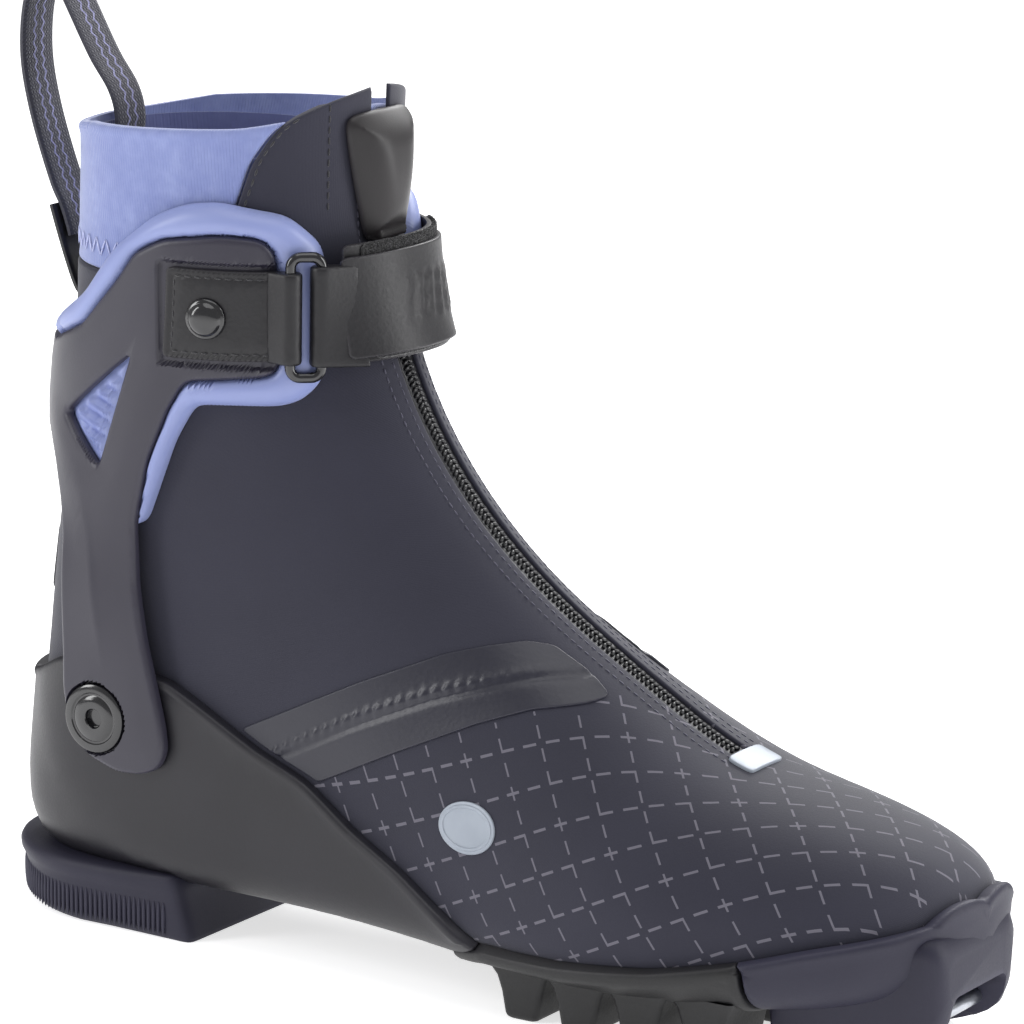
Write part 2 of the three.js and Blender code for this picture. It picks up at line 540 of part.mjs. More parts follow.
// ---------------------------------------------------------------- power strap
// The ring's two upright bars stand at these angles around the shaft.
const barPoint = (angle) => offsetPoint(stationAtHeight(RING.z, angle * DEGREE), angle * DEGREE, RING.offset);
const rearBar = barPoint(43.5);
const ringDirection = barPoint(32).sub(rearBar).setZ(0).normalize();
const frontBar = rearBar.clone().addScaledVector(ringDirection, RING.width);

function makeRing() {
  const halfWide = RING.width / 2;
  const halfTall = RING.height / 2;
  const radius = 2.6;
  const path = new THREE.CurvePath();
  const middle = rearBar.clone().add(frontBar).multiplyScalar(0.5).setZ(RING.z);
  const at = (a, b) => middle.clone().addScaledVector(ringDirection, a).add(new THREE.Vector3(0, 0, b));
  const corners = [[halfWide, halfTall], [-halfWide, halfTall], [-halfWide, -halfTall], [halfWide, -halfTall]];
  corners.forEach(([a, b], i) => {
    const [nextA, nextB] = corners[(i + 1) % 4];
    const [previousA, previousB] = corners[(i + 3) % 4];
    const towards = (fromA, fromB, toA, toB) => {
      const length = Math.hypot(toA - fromA, toB - fromB);
      return at(fromA + ((toA - fromA) / length) * radius, fromB + ((toB - fromB) / length) * radius);
    };
    const arcEnd = towards(a, b, nextA, nextB);
    path.add(new THREE.QuadraticBezierCurve3(towards(a, b, previousA, previousB), at(a, b), arcEnd));
    path.add(new THREE.LineCurve3(arcEnd, towards(nextA, nextB, a, b)));
  });
  const steps = 44;
  const sides = 8;
  const normal = new THREE.Vector3(-ringDirection.y, ringDirection.x, 0);
  const points = [];
  const faces = [];
  for (let i = 0; i < steps; i += 1) {
    const centre = path.getPoint(i / steps);
    const tangent = path.getTangent(i / steps);
    const across = tangent.clone().cross(normal).normalize();
    for (let j = 0; j < sides; j += 1) {
      const turn = (j / sides) * 2 * Math.PI;
      points.push(centre.clone().addScaledVector(normal, Math.cos(turn) * RING.wire)
        .addScaledVector(across, Math.sin(turn) * RING.wire));
      const a = i * sides + j;
      const b = i * sides + ((j + 1) % sides);
      const c = ((i + 1) % steps) * sides + j;
      const d = ((i + 1) % steps) * sides + ((j + 1) % sides);
      faces.push([a, b, d], [a, d, c]);
    }
  }
  return solidFromFaces(points, faces);
}

// Upright tube around one bar of the ring.
function upright(at, radius, low, high, segments = 16) {
  const geometry = new THREE.CylinderGeometry(radius, radius, high - low, segments);
  return solidFrom(geometry.rotateX(Math.PI / 2).translate(at.x, at.y, (low + high) / 2));
}
const sleeve = (at, low, high, outer) => upright(at, outer, low, high).subtract(upright(at, 1.9, low - 1, high + 1, 12));

const TAB = { low: 158, high: 181.5, inner: 5.15, wall: 1.5 };
const tabPlate = wrap(83.5, 45, TAB.low, TAB.high, TAB.inner, TAB.wall, 7).subtract(upright(rearBar, 1.9, 150, 190, 12));
const strapTab = tabPlate.add(sleeve(rearBar, TAB.low, TAB.high, 3.0)).subtract(rivetHole(RIVET.shank + GAP));
add("strap_tab", strapTab, COLOUR.leather, 0.45);
add("strap_ring", makeRing(), COLOUR.gloss, 0.15, 0.6);

const tabFace = TAB.inner + TAB.wall + GAP;
const rivetProfile = [[0, CUFF_INNER - 1.7], [4, CUFF_INNER - 1.7], [4, CUFF_INNER - 1],
  [RIVET.shank, CUFF_INNER - 1], [RIVET.shank, tabFace], [5.4, tabFace], [5.2, tabFace + 0.8],
  [3.9, tabFace + 2], [2, tabFace + 2.6], [0, tabFace + 2.8]];
add("tab_rivet", stud(RIVET.angle, RIVET.z, rivetProfile), COLOUR.gloss, 0.12, 0.5);

const TAIL_SLEEVE = 3.1;
const strap = wrap(26, -74, STRAP.low, STRAP.high, STRAP.inner, STRAP.wall, 16)
  .subtract(upright(frontBar, TAIL_SLEEVE + 0.4, 140, 200));
add("power_strap", strap, COLOUR.leather, 0.5);
const pile = wrap(20, -44, STRAP.low + 0.5, STRAP.high - 0.4, STRAP.inner + STRAP.wall + GAP, 0.35, 12);
add("loop_pile", pile, COLOUR.gloss, 0.95);
const tail = wrap(31, -40, TAIL.low, TAIL.high, TAIL.inner, TAIL.wall, 14)
  .subtract(upright(frontBar, 1.9, 140, 200, 12)).add(sleeve(frontBar, TAIL.low, 182.5, TAIL_SLEEVE));
add("strap_tail", tail, COLOUR.leather, 0.45);

// Two rivets hold the strap's fixed end to the cuff on the inner side.
const strapFace = STRAP.inner + STRAP.wall + GAP;
const strapRivet = [[0, strapFace], [4.2, strapFace], [3.4, strapFace + 1.2], [0, strapFace + 1.7]];
add("strap_rivet_upper", stud(-66, 179, strapRivet, 14), COLOUR.gloss, 0.2, 0.5);
add("strap_rivet_lower", stud(-66, 165, strapRivet, 14), COLOUR.gloss, 0.2, 0.5);

boot.position.set(-ORIGIN.x, -ORIGIN.y, 0);
const group = new THREE.Group();
group.add(boot);
export default group;
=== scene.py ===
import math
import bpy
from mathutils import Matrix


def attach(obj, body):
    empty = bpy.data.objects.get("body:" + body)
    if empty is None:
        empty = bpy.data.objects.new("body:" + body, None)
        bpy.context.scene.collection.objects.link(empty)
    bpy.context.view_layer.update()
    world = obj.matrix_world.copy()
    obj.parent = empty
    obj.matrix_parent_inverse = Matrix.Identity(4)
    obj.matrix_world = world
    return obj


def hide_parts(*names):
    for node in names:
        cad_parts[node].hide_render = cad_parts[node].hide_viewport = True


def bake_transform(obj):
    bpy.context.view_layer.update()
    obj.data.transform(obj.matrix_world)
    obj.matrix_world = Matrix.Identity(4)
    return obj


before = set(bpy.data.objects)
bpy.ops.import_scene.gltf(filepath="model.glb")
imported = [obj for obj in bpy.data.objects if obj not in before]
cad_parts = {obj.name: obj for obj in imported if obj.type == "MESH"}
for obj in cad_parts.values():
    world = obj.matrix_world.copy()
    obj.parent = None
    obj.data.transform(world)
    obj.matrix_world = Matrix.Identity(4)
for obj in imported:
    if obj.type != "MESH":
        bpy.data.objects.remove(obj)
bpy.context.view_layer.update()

# %% [markdown]
# A skate-style cross country ski boot for the right foot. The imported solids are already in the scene,
# each on the body that moves it: the boot, the ankle cuff, the wire ring, the strap's free end, and the
# zip's slider and pull. This script keeps that frame and dresses it. Every soft panel is cut, like the
# real one, from one continuous shape of the leg and foot, so that shape comes first and each piece is a
# layer at its own height.

# %% Tools and the size to keep
from types import SimpleNamespace

import bmesh
import bpy
import numpy as np
from mathutils import Matrix, Vector
from mathutils.geometry import delaunay_2d_cdt

MM = 0.001
HEEL = np.array([-136.98, 0.63, 0.0])
PIVOT = np.array([43.0, 59.0])


def place(points):
    """Heel coordinates in millimetres, as the maker draws them, become metres in the shared frame."""
    return (np.asarray(points, float) + HEEL) * MM


# %% [markdown]
# Camera, light and floor come first, so that every later step can be looked at. A long lens flattens the
# boot as a catalogue picture does: from the outer side, 31 degrees round to the toe and 13 degrees up.
# Large soft lights stand where a product table has them, one wide panel above, one on each side, and a
# bright surround.

# %% Camera
AZIMUTH = math.radians(31.46)
ELEVATION = math.radians(13.02)
ROLL = math.radians(0.97)
back = Vector((math.sin(AZIMUTH) * math.cos(ELEVATION), -math.cos(AZIMUTH) * math.cos(ELEVATION),
               math.sin(ELEVATION)))
level = (-back).cross(Vector((0, 0, 1))).normalized()
rise = level.cross(-back)
right = math.cos(ROLL) * level + math.sin(ROLL) * rise
up = math.cos(ROLL) * rise - math.sin(ROLL) * level
aim = Vector(place([140, 0, 110])) + level * 0.00364 + rise * 0.00936
DISTANCE = 1.5

lens = bpy.data.cameras.new("catalogue_lens")
lens.lens = 206.2
lens.sensor_width = 36
camera = bpy.data.objects.new("catalogue_camera", lens)
bpy.context.scene.collection.objects.link(camera)
camera.matrix_world = Matrix((
    (right.x, up.x, back.x, aim.x + DISTANCE * back.x),
    (right.y, up.y, back.y, aim.y + DISTANCE * back.y),
    (right.z, up.z, back.z, aim.z + DISTANCE * back.z),
    (0, 0, 0, 1),
))
bpy.context.scene.camera = camera
print("camera at", [round(v, 3) for v in camera.matrix_world.translation])

# %% Soft studio light
scene = bpy.context.scene
scene.view_settings.view_transform = "Standard"
world = bpy.data.worlds.new("studio")
world.use_nodes = True
surround = world.node_tree.nodes["Background"].inputs
surround["Color"].default_value = (1.0, 1.0, 1.0, 1)
surround["Strength"].default_value = 0.42
scene.world = world


def panel_light(name, position, width, height, watts, colour=(1, 1, 1)):
    """A flat soft box that faces the middle of the boot."""
    data = bpy.data.lights.new(name, "AREA")
    data.shape = "RECTANGLE"
    data.size = width
    data.size_y = height
    data.energy = watts
    data.color = colour
    lamp = bpy.data.objects.new(name, data)
    lamp.location = position
    lamp.rotation_euler = (Vector(position) - Vector((0, 0, 0.11))).to_track_quat("Z", "Y").to_euler()
    scene.collection.objects.link(lamp)


panel_light("overhead_panel", (0.1, -0.1, 1.3), 1.0, 1.0, 5)
panel_light("left_panel", (-1.0, -1.0, 0.75), 0.35, 1.1, 9)
panel_light("toe_side_panel", (1.1, 0.45, 0.5), 0.4, 1.1, 9)
panel_light("behind_panel", (-0.1, 1.2, 1.0), 0.9, 0.7, 16)

# %% Floor
half = 14.0
floor_mesh = bpy.data.meshes.new("floor")
corners = [(-half, -half, 0), (half, -half, 0), (half, half, 0), (-half, half, 0)]
floor_mesh.from_pydata(corners, [], [(0, 1, 2, 3)])
floor = bpy.data.objects.new("floor", floor_mesh)
scene.collection.objects.link(floor)
paper = bpy.data.materials.new("pale_paper")
paper.use_nodes = True
paper_inputs = paper.node_tree.nodes["Principled BSDF"].inputs
paper_inputs["Base Color"].default_value = (0.93, 0.93, 0.94, 1)
paper_inputs["Roughness"].default_value = 0.9
paper_inputs["Emission Color"].default_value = (1, 1, 1, 1)
paper_inputs["Emission Strength"].default_value = 0.66
floor_mesh.materials.append(paper)

# %% [markdown]
# The last. A shoe is built round a last, the form of a foot. Here it is a row of slanted slices from the
# toe tip to the top of the leg, joined by a smooth spline. Each slice is rounded in front and squarer at
# the sole or the back. A place on it is two numbers: the station along the foot and the angle around it,
# with 0 in front, a quarter turn on the outer side and half a turn at the sole or back. Sculpting would
# give the same look, but a formula lets every layer sit a known distance above the one below, so nothing
# pokes through.

# %% The form of the foot and leg
STATIONS = np.array([
    [276.0, 33.0, 276.5, 28.0, 2.0, 2.0, 8, 0.5, 2.0],
    [276.0, 40.0, 273.5, 21.5, 17.0, 17.0, 8, 0.55, 2.6],
    [270.0, 48.0, 265.0, 17.0, 29.0, 28.0, 7, 0.6, 3.2],
    [257.0, 54.5, 250.0, 14.5, 37.5, 35.0, 5, 0.62, 3.6],
    [240.0, 59.5, 229.0, 13.0, 43.0, 40.0, 3, 0.64, 3.8],
    [223.0, 63.5, 205.0, 12.0, 46.5, 43.5, 1, 0.66, 3.8],
    [208.0, 69.5, 182.0, 12.0, 47.0, 44.5, 0, 0.68, 3.8],
    [192.5, 78.5, 158.0, 13.0, 44.0, 41.0, 0, 0.68, 4.0],
    [175.5, 88.5, 133.0, 14.5, 39.5, 36.0, 0, 0.66, 4.4],
    [158.5, 99.5, 108.0, 15.5, 36.0, 33.0, 0, 0.62, 5.2],
    [143.0, 112.0, 82.0, 16.0, 34.5, 33.0, 0, 0.58, 6.0],
    [129.0, 127.0, 53.0, 15.5, 34.0, 34.0, 0, 0.55, 6.5],
    [118.0, 143.5, 20.5, 15.0, 34.0, 34.5, 0, 0.52, 5.2],
    [110.0, 161.0, 3.0, 23.0, 34.5, 35.0, 0, 0.5, 2.4],
    [105.5, 178.0, 4.7, 59.0, 35.0, 35.5, 0, 0.5, 2.0],
    [103.5, 192.0, 10.3, 100.0, 35.5, 36.0, 0, 0.5, 2.2],
    [103.0, 204.0, 16.0, 137.0, 36.0, 36.5, 0, 0.5, 2.2],
    [103.0, 216.0, 16.5, 172.0, 36.5, 37.0, 0, 0.5, 2.1],
    [103.5, 234.0, 17.0, 220.0, 37.0, 37.5, 0, 0.5, 2.1],
])
LAST = len(STATIONS) - 1
ROWS = np.vstack([2 * STATIONS[0] - STATIONS[1], STATIONS, 2 * STATIONS[-1] - STATIONS[-2]])
FRONT_ROUNDNESS = 2.2


def slices(u):
    """Blended slice at each station, by a uniform cubic B-spline through the rows."""
    index = np.clip(np.floor(u).astype(int), 0, LAST - 1)
    t = (u - index)[..., None]
    weights = ((1 - t) ** 3, 3 * t**3 - 6 * t**2 + 4, -3 * t**3 + 3 * t**2 + 3 * t + 1, t**3)
    return sum(w * ROWS[index + k] for k, w in enumerate(weights)) / 6


def form(u, phi):
    """Point of the form, in millimetres from the back of the heel."""
    u, phi = np.broadcast_arrays(np.asarray(u, float), np.asarray(phi, float))
    top_x, top_z, low_x, low_z, outer, inner, shift, widest, square = np.moveaxis(slices(u), -1, 0)
    c, s = np.cos(phi), np.sin(phi)
    power = np.where(c >= 0, FRONT_ROUNDNESS, square)
    size = (np.abs(c) ** power + np.abs(s) ** power) ** (-1 / power)
    along, across = np.abs(c) * size, np.abs(s) * size
    depth = np.where(c >= 0, widest * (1 - along), widest + (1 - widest) * along)
    y = shift + np.where(s >= 0, -outer, inner) * across
    return np.stack([top_x + (low_x - top_x) * depth, y, top_z + (low_z - top_z) * depth], -1)


def outward(u, phi, h=0.01):
    """Direction straight out of the form."""
    u, phi = np.broadcast_arrays(np.asarray(u, float), np.asarray(phi, float))
    n = np.cross(form(u + h, phi) - form(u - h, phi), form(u, phi + h) - form(u, phi - h))
    return n / np.linalg.norm(n, axis=-1, keepdims=True)


def surface(u, phi, height=0.0):
    """Point at a height above the form."""
    return form(u, phi) + outward(u, phi) * np.asarray(height, float)[..., None]


whole_form = form(np.linspace(0, LAST, 80)[:, None], np.linspace(0, 2 * math.pi, 60))
print("foot length", round(float(np.ptp(whole_form[..., 0])), 1), "mm")

# %% [markdown]
# Panels are drawn flat, in side view, as a pattern cutter would. To cut them on the form, each drawn
# point has to be found on it: a coarse search gives a start and Newton steps close the gap. Corners are
# softened first.

# %% Find drawn points on the form
SEED_U, SEED_PHI = [g.ravel() for g in np.meshgrid(np.linspace(0.3, 17.9, 150), np.linspace(-3.1, 3.1, 160))]


def locate(targets, height=0.0):
    """Station and angle of drawn points: [x, z] on the outer side, or [x, y, z] anywhere."""
    targets = np.atleast_2d(np.asarray(targets, float))
    pick = [0, 2] if targets.shape[1] == 2 else [0, 1, 2]
    seed_u, seed_phi = SEED_U, SEED_PHI
    if len(pick) == 2:
        keep = SEED_PHI > 0
        seed_u, seed_phi = SEED_U[keep], SEED_PHI[keep]
    seeds = surface(seed_u, seed_phi, height)[:, pick]
    nearest = [int(np.argmin(((seeds - t) ** 2).sum(1))) for t in targets]
    u, phi = seed_u[nearest].copy(), seed_phi[nearest].copy()
    h = 1e-3
    for _ in range(14):
        miss = targets - surface(u, phi, height)[:, pick]
        du = (surface(u + h, phi, height) - surface(u - h, phi, height))[:, pick] / (2 * h)
        dp = (surface(u, phi + h, height) - surface(u, phi - h, height))[:, pick] / (2 * h)
        a, b, d = (du * du).sum(1) + 1e-3, (du * dp).sum(1), (dp * dp).sum(1) + 1e-3
        e, f = (du * miss).sum(1), (dp * miss).sum(1)
        scale = a * d - b * b
        u = np.clip(u + np.clip((d * e - b * f) / scale, -0.3, 0.3), 0.02, 17.98)
        phi = phi + np.clip((a * f - b * e) / scale, -0.1, 0.1)
        if len(pick) == 2:
            phi = np.clip(phi, 0.01, math.pi - 0.01)
    return np.stack([u, phi], -1)


def soft_line(points, step=1.0, soft=1.5):
    """Open line with an even step and rounded corners; its two ends stay."""
    points = np.asarray(points, float)
    run = np.r_[0, np.cumsum(np.linalg.norm(np.diff(points, axis=0), axis=1))]
    at = np.linspace(0, run[-1], max(int(run[-1] / step), 4) + 1)
    line = np.stack([np.interp(at, run, points[:, k]) for k in range(points.shape[1])], -1)
    if soft <= 0:
        return line
    reach = min(int(3 * soft / step) + 1, len(line) - 1)
    weights = np.exp(-0.5 * (np.arange(-reach, reach + 1) * step / soft) ** 2)
    weights /= weights.sum()
    padded = np.vstack([2 * line[0] - line[reach:0:-1], line, 2 * line[-1] - line[-2:-reach - 2:-1]])
    return np.stack([np.convolve(padded[:, k], weights, "valid") for k in range(line.shape[1])], -1)


def soft_ring(points, step=1.0, soft=1.5):
    """Closed line with an even step and rounded corners."""
    points = np.asarray(points, float)
    three = np.vstack([points, points, points, points[:1]])
    line = soft_line(three, step, soft)
    third = (len(line) - 1) // 3
    return line[third:2 * third]


def at_back(z, low=11.0, high=17.99):
    """Station where the back centre line reaches a height."""
    for _ in range(40):
        middle = (low + high) / 2
        low, high = (middle, high) if form(middle, math.pi)[2] < z else (low, middle)
    return low


def under_sole(x, low=0.5, high=12.5):
    """Station where the sole's centre line reaches a length."""
    for _ in range(40):
        middle = (low + high) / 2
        low, high = (middle, high) if form(middle, math.pi)[0] > x else (low, middle)
    return low


def at_height(z, phi):
    """Station where the leg reaches height z, for each angle."""
    phi = np.asarray(phi, float)
    low, high = np.full(phi.shape, 9.0), np.full(phi.shape, 18.0)
    for _ in range(30):
        middle = (low + high) / 2
        below = form(middle, phi)[..., 2] < z
        low, high = np.where(below, middle, low), np.where(below, high, middle)
    return low


def even_angle(degrees):
    """The drawing's angle for the front half of the form, as the angle seen from its middle."""
    a = np.radians(np.asarray(degrees, float))
    return np.sign(a) * np.arctan(np.abs(np.tan(a)) ** (2 / FRONT_ROUNDNESS))


def across_front(u, y):
    """Angle of the point y millimetres from the slice's middle, on the front half."""
    u, y = np.broadcast_arrays(np.asarray(u, float), np.asarray(y, float))
    s = slices(u)
    share = np.clip(np.abs(y) / np.where(y < 0, s[..., 4], s[..., 5]), 0, 0.999)
    along = (1 - share**FRONT_ROUNDNESS) ** (1 / FRONT_ROUNDNESS)
    return -np.sign(y) * np.arctan2(share, along)


print("ankle hinge lies at station and angle", np.round(locate([PIVOT], 3.0)[0], 2))

# %% [markdown]
# One tool cuts every panel. It fills the outline with points: close rows along the edge, so that a rolled
# or rounded edge looks round, and an even grid inside. A constrained Delaunay triangulation joins them.
# The panel gets an outer face at its height, an inner face below it, and a wall along the real edges; an
# outline that meets itself, as at the back seam, is welded instead. It also keeps two facts for the
# finishes: how far each point is from the cut edge, and its place in millimetres along the foot and
# around it.

# %% Cut a panel from the form
AROUND, ALONG = 35.0, 14.0
NOWHERE = 99.0


def inside(points, loops):
    """Which flat points lie inside the outlines."""
    result = np.zeros(len(points), bool)
    x, y = points[:, :1], points[:, 1:]
    for loop in loops:
        a, b = loop, np.roll(loop, -1, 0)
        rise_y = b[:, 1] - a[:, 1]
        rise_y = np.where(np.abs(rise_y) < 1e-9, 1e-9, rise_y)
        hit = ((a[:, 1] > y) != (b[:, 1] > y)) & (x < (b[:, 0] - a[:, 0]) * (y - a[:, 1]) / rise_y + a[:, 0])
        result ^= hit.sum(1) % 2 == 1
    return result


def distance_to(points, starts, ends):
    """Distance from each point to the nearest of a set of short lines."""
    d = ends - starts
    length2 = (d * d).sum(1) + 1e-12
    parts = []
    for chunk in np.array_split(points, len(points) // 400 + 1):
        v = chunk[:, None] - starts[None]
        t = np.clip((v * d).sum(2) / length2, 0, 1)
        parts.append(np.sqrt(((v - t[..., None] * d) ** 2).sum(2).min(1)))
    return np.concatenate(parts)


def densify(loop, step):
    """Adds points along the long sides of an outline of stations and angles."""
    result = []
    for a, b in zip(loop, np.roll(loop, -1, 0)):
        steps = np.linspace(a, b, 9)
        length = np.linalg.norm(np.diff(form(steps[:, 0], steps[:, 1]), axis=0), axis=1).sum()
        count = max(int(round(length / step)), 1)
        result += [a + (b - a) * k / count for k in range(count)]
    return np.array(result)


def girth(u, phi, samples=20):
    """Millimetres around the slice from the front line, negative on the inner side."""
    steps = np.linspace(0, 1, samples + 1)
    ring = form(u[:, None] * np.ones(samples + 1), phi[:, None] * steps)
    return np.sign(phi) * np.linalg.norm(np.diff(ring, axis=1), axis=2).sum(1)


def finish_mesh(obj, sharp=50):
    obj.data.shade_smooth()
    obj.data.set_sharp_from_angle(angle=math.radians(sharp))
    return obj


def new_piece(name, points, faces, material=None):
    """A piece from points in heel millimetres."""
    mesh = bpy.data.meshes.new(name)
    mesh.from_pydata([tuple(p) for p in place(points)], [], [tuple(int(i) for i in f) for f in faces])
    obj = bpy.data.objects.new(name, mesh)
    scene.collection.objects.link(obj)
    if material:
        mesh.materials.append(material)
    return obj


def panel(name, loops, top, bottom, material, bevel=0.6, spacing=3.0, rings=(), seam=None, reshape=None,
          edge_step=1.0, extra=None, pole=None):
    """A closed panel between two heights; top may be a number or a rule for each place on the panel."""
    loops = [densify(np.asarray(loop, float), edge_step) for loop in loops]
    flats = [np.stack([loop[:, 1] * AROUND, loop[:, 0] * ALONG], -1) for loop in loops]
    for k, flat in enumerate(flats):
        twice = (flat[:, 0] * np.roll(flat[:, 1], -1) - np.roll(flat[:, 0], -1) * flat[:, 1]).sum()
        if (twice > 0) != (k == 0):
            loops[k], flats[k] = loops[k][::-1], flats[k][::-1]
    first_seam, second_seam = seam or (NOWHERE, NOWHERE)
    pole_station = NOWHERE if pole is None else pole
    on_seam = lambda phi: np.isclose(phi, first_seam, atol=1e-6) | np.isclose(phi, second_seam, atol=1e-6)
    on_pole = lambda u: np.isclose(u, pole_station, atol=1e-6)
    starts, ends, rows = [], [], []
    rings = sorted(set([round(bevel * k, 3) for k in (0.12, 0.4, 0.7, 1.0)] + list(rings)))
    for loop in loops:
        after, before = np.roll(loop, -1, 0), np.roll(loop, 1, 0)
        base, base_after = form(loop[:, 0], loop[:, 1]), form(after[:, 0], after[:, 1])
        base_before = form(before[:, 0], before[:, 1])
        real = ~(on_seam(loop[:, 1]) & on_seam(after[:, 1]) | on_pole(loop[:, 0]) & on_pole(after[:, 0]))
        starts.append(base[real])
        ends.append(base_after[real])
        h = 1e-3
        du = (form(loop[:, 0] + h, loop[:, 1]) - form(loop[:, 0] - h, loop[:, 1])) / (2 * h)
        dp = (form(loop[:, 0], loop[:, 1] + h) - form(loop[:, 0], loop[:, 1] - h)) / (2 * h)
        tangent = base_after - base_before
        tangent /= np.linalg.norm(tangent, axis=1, keepdims=True) + 1e-12
        side = np.cross(outward(loop[:, 0], loop[:, 1]), tangent)
        a, b, d = (du * du).sum(1), (du * dp).sum(1), (dp * dp).sum(1)
        e, f = (du * side).sum(1), (dp * side).sum(1)
        move = np.stack([(d * e - b * f), (a * f - b * e)], -1) / (a * d - b * b)[:, None]
        flat_tangent = (after - before)[:, ::-1] * [AROUND, ALONG]
        left = np.stack([-flat_tangent[:, 1], flat_tangent[:, 0]], -1)
        turn = np.sign((move[:, ::-1] * [AROUND, ALONG] * left).sum(1))
        real_here = real & np.roll(real, 1)
        for depth in rings:
            rows.append(np.c_[(loop + move * turn[:, None] * depth)[real_here],
                              np.full(real_here.sum(), depth * 0.82)])
    starts, ends = np.vstack(starts), np.vstack(ends)
    everything = np.vstack(flats)
    low, high = everything.min(0), everything.max(0)
    fy, row_index = np.meshgrid(np.arange(low[0], high[0], spacing),
                                np.arange(0, (high[1] - low[1]) / (spacing * 0.87)))
    grid_phi = (fy + (row_index % 2) * spacing / 2).ravel() / AROUND
    grid_u = (low[1] + row_index * spacing * 0.87).ravel() / ALONG
    rows.append(np.stack([grid_u, grid_phi, np.full(len(grid_u), rings[-1] + spacing * 0.4)], -1))
    if extra is not None:
        rows.append(np.c_[extra, np.full(len(extra), 0.3)])
    fill = np.vstack(rows)
    flat_fill = np.stack([fill[:, 1] * AROUND, fill[:, 0] * ALONG], -1)
    keep = inside(flat_fill, flats)
    fill, flat_fill = fill[keep], flat_fill[keep]
    keep = distance_to(form(fill[:, 0], fill[:, 1]), starts, ends) > fill[:, 2]
    points = np.vstack([everything, flat_fill[keep]])
    edges, first = [], 0
    for flat in flats:
        edges += [(first + k, first + (k + 1) % len(flat)) for k in range(len(flat))]
        first += len(flat)
    made = delaunay_2d_cdt([Vector(p) for p in points], edges, [], 0, 1e-5)
    flat = np.array([v[:] for v in made[0]])
    faces = np.array([f for f in made[2] if len(f) == 3])
    faces = faces[inside(flat[faces].mean(1), flats)]
    used, faces = np.unique(faces, return_inverse=True)
    faces = faces.reshape(-1, 3)[:, ::-1]
    flat = flat[used]
    u, phi = flat[:, 1] / ALONG, flat[:, 0] / AROUND
    base = form(u, phi)
    edge = distance_to(base, starts, ends)
    spot = SimpleNamespace(u=u, phi=phi, base=base, edge=edge)
    height = np.broadcast_to(np.asarray(top(spot) if callable(top) else top, float), u.shape)
    floor_height = np.broadcast_to(np.asarray(bottom(spot) if callable(bottom) else bottom, float), u.shape)
    near = np.clip(1 - edge / bevel, 0, 1)
    height = height - np.minimum(bevel, (height - floor_height) * 0.9) * (1 - np.sqrt(1 - near**2))
    outer, inner = surface(u, phi, height), surface(u, phi, floor_height)
    if reshape:
        outer, inner = reshape(outer, height), reshape(inner, floor_height)
    count = len(u)
    directed = {(int(f[k]), int(f[(k + 1) % 3])) for f in faces for k in range(3)}
    seam_point, pole_point = on_seam(phi), on_pole(u)
    walls = [(b, a, a + count, b + count) for a, b in directed
             if (b, a) not in directed and not (seam_point[a] and seam_point[b])
             and not (pole_point[a] and pole_point[b])]
    under_faces = [tuple(int(i) + count for i in f[::-1]) for f in faces]
    all_faces = [tuple(f) for f in faces] + under_faces + sorted(walls)
    obj = new_piece(name, np.vstack([outer, inner]), all_faces, material)
    mesh = obj.data
    attribute = mesh.attributes.new("edge", "FLOAT", "POINT")
    attribute.data.foreach_set("value", np.r_[edge, np.zeros(count)].astype(np.float32))
    uv = mesh.uv_layers.new(name="UVMap")
    place_mm = np.stack([base[:, 0], girth(u, phi)], -1)
    corner = np.zeros(len(mesh.loops), int)
    mesh.loops.foreach_get("vertex_index", corner)
    uv.data.foreach_set("uv", np.vstack([place_mm, place_mm])[corner].astype(np.float32).ravel())
    if seam:
        work = bmesh.new()
        work.from_mesh(mesh)
        work.verts.ensure_lookup_table()
        weld = seam_point & ~pole_point
        pairs = [work.verts[i] for i in np.flatnonzero(np.r_[weld, weld])]
        tips = [[work.verts[skip + i] for i in np.flatnonzero(pole_point)] for skip in (0, count)]
        for tip in filter(None, tips):
            bmesh.ops.pointmerge(work, verts=tip, merge_co=sum((v.co for v in tip), Vector()) / len(tip))
        bmesh.ops.remove_doubles(work, verts=pairs, dist=2e-6)
        work.to_mesh(mesh)
        work.free()
    return finish_mesh(obj)


def mirror_outline(border, from_back, to_back):
    """Outline that runs over the back or sole: the outer border, then its mirror image on the inner side."""
    mirrored = np.stack([border[::-1, 0], 2 * math.pi - border[::-1, 1]], -1)
    return np.vstack([[from_back, math.pi], border, [to_back, math.pi], mirrored])

# %% [markdown]
# Finishes. Each material is a Principled shader fed by a few shared effects: fine grain, woven threads,
# soft colour drift and light wear along cut edges. An effect that several finishes use is a node group,
# so one change reaches them all. Image textures would be quicker, but a pattern from formulas stays sharp
# close up.

# %% A short way to wire nodes
def tint(code):
    """A hex colour as the linear values that shaders use."""
    parts = [int(code[i:i + 2], 16) / 255 for i in (0, 2, 4)]
    return [v / 12.92 if v <= 0.04045 else ((v + 0.055) / 1.055) ** 2.4 for v in parts] + [1.0]


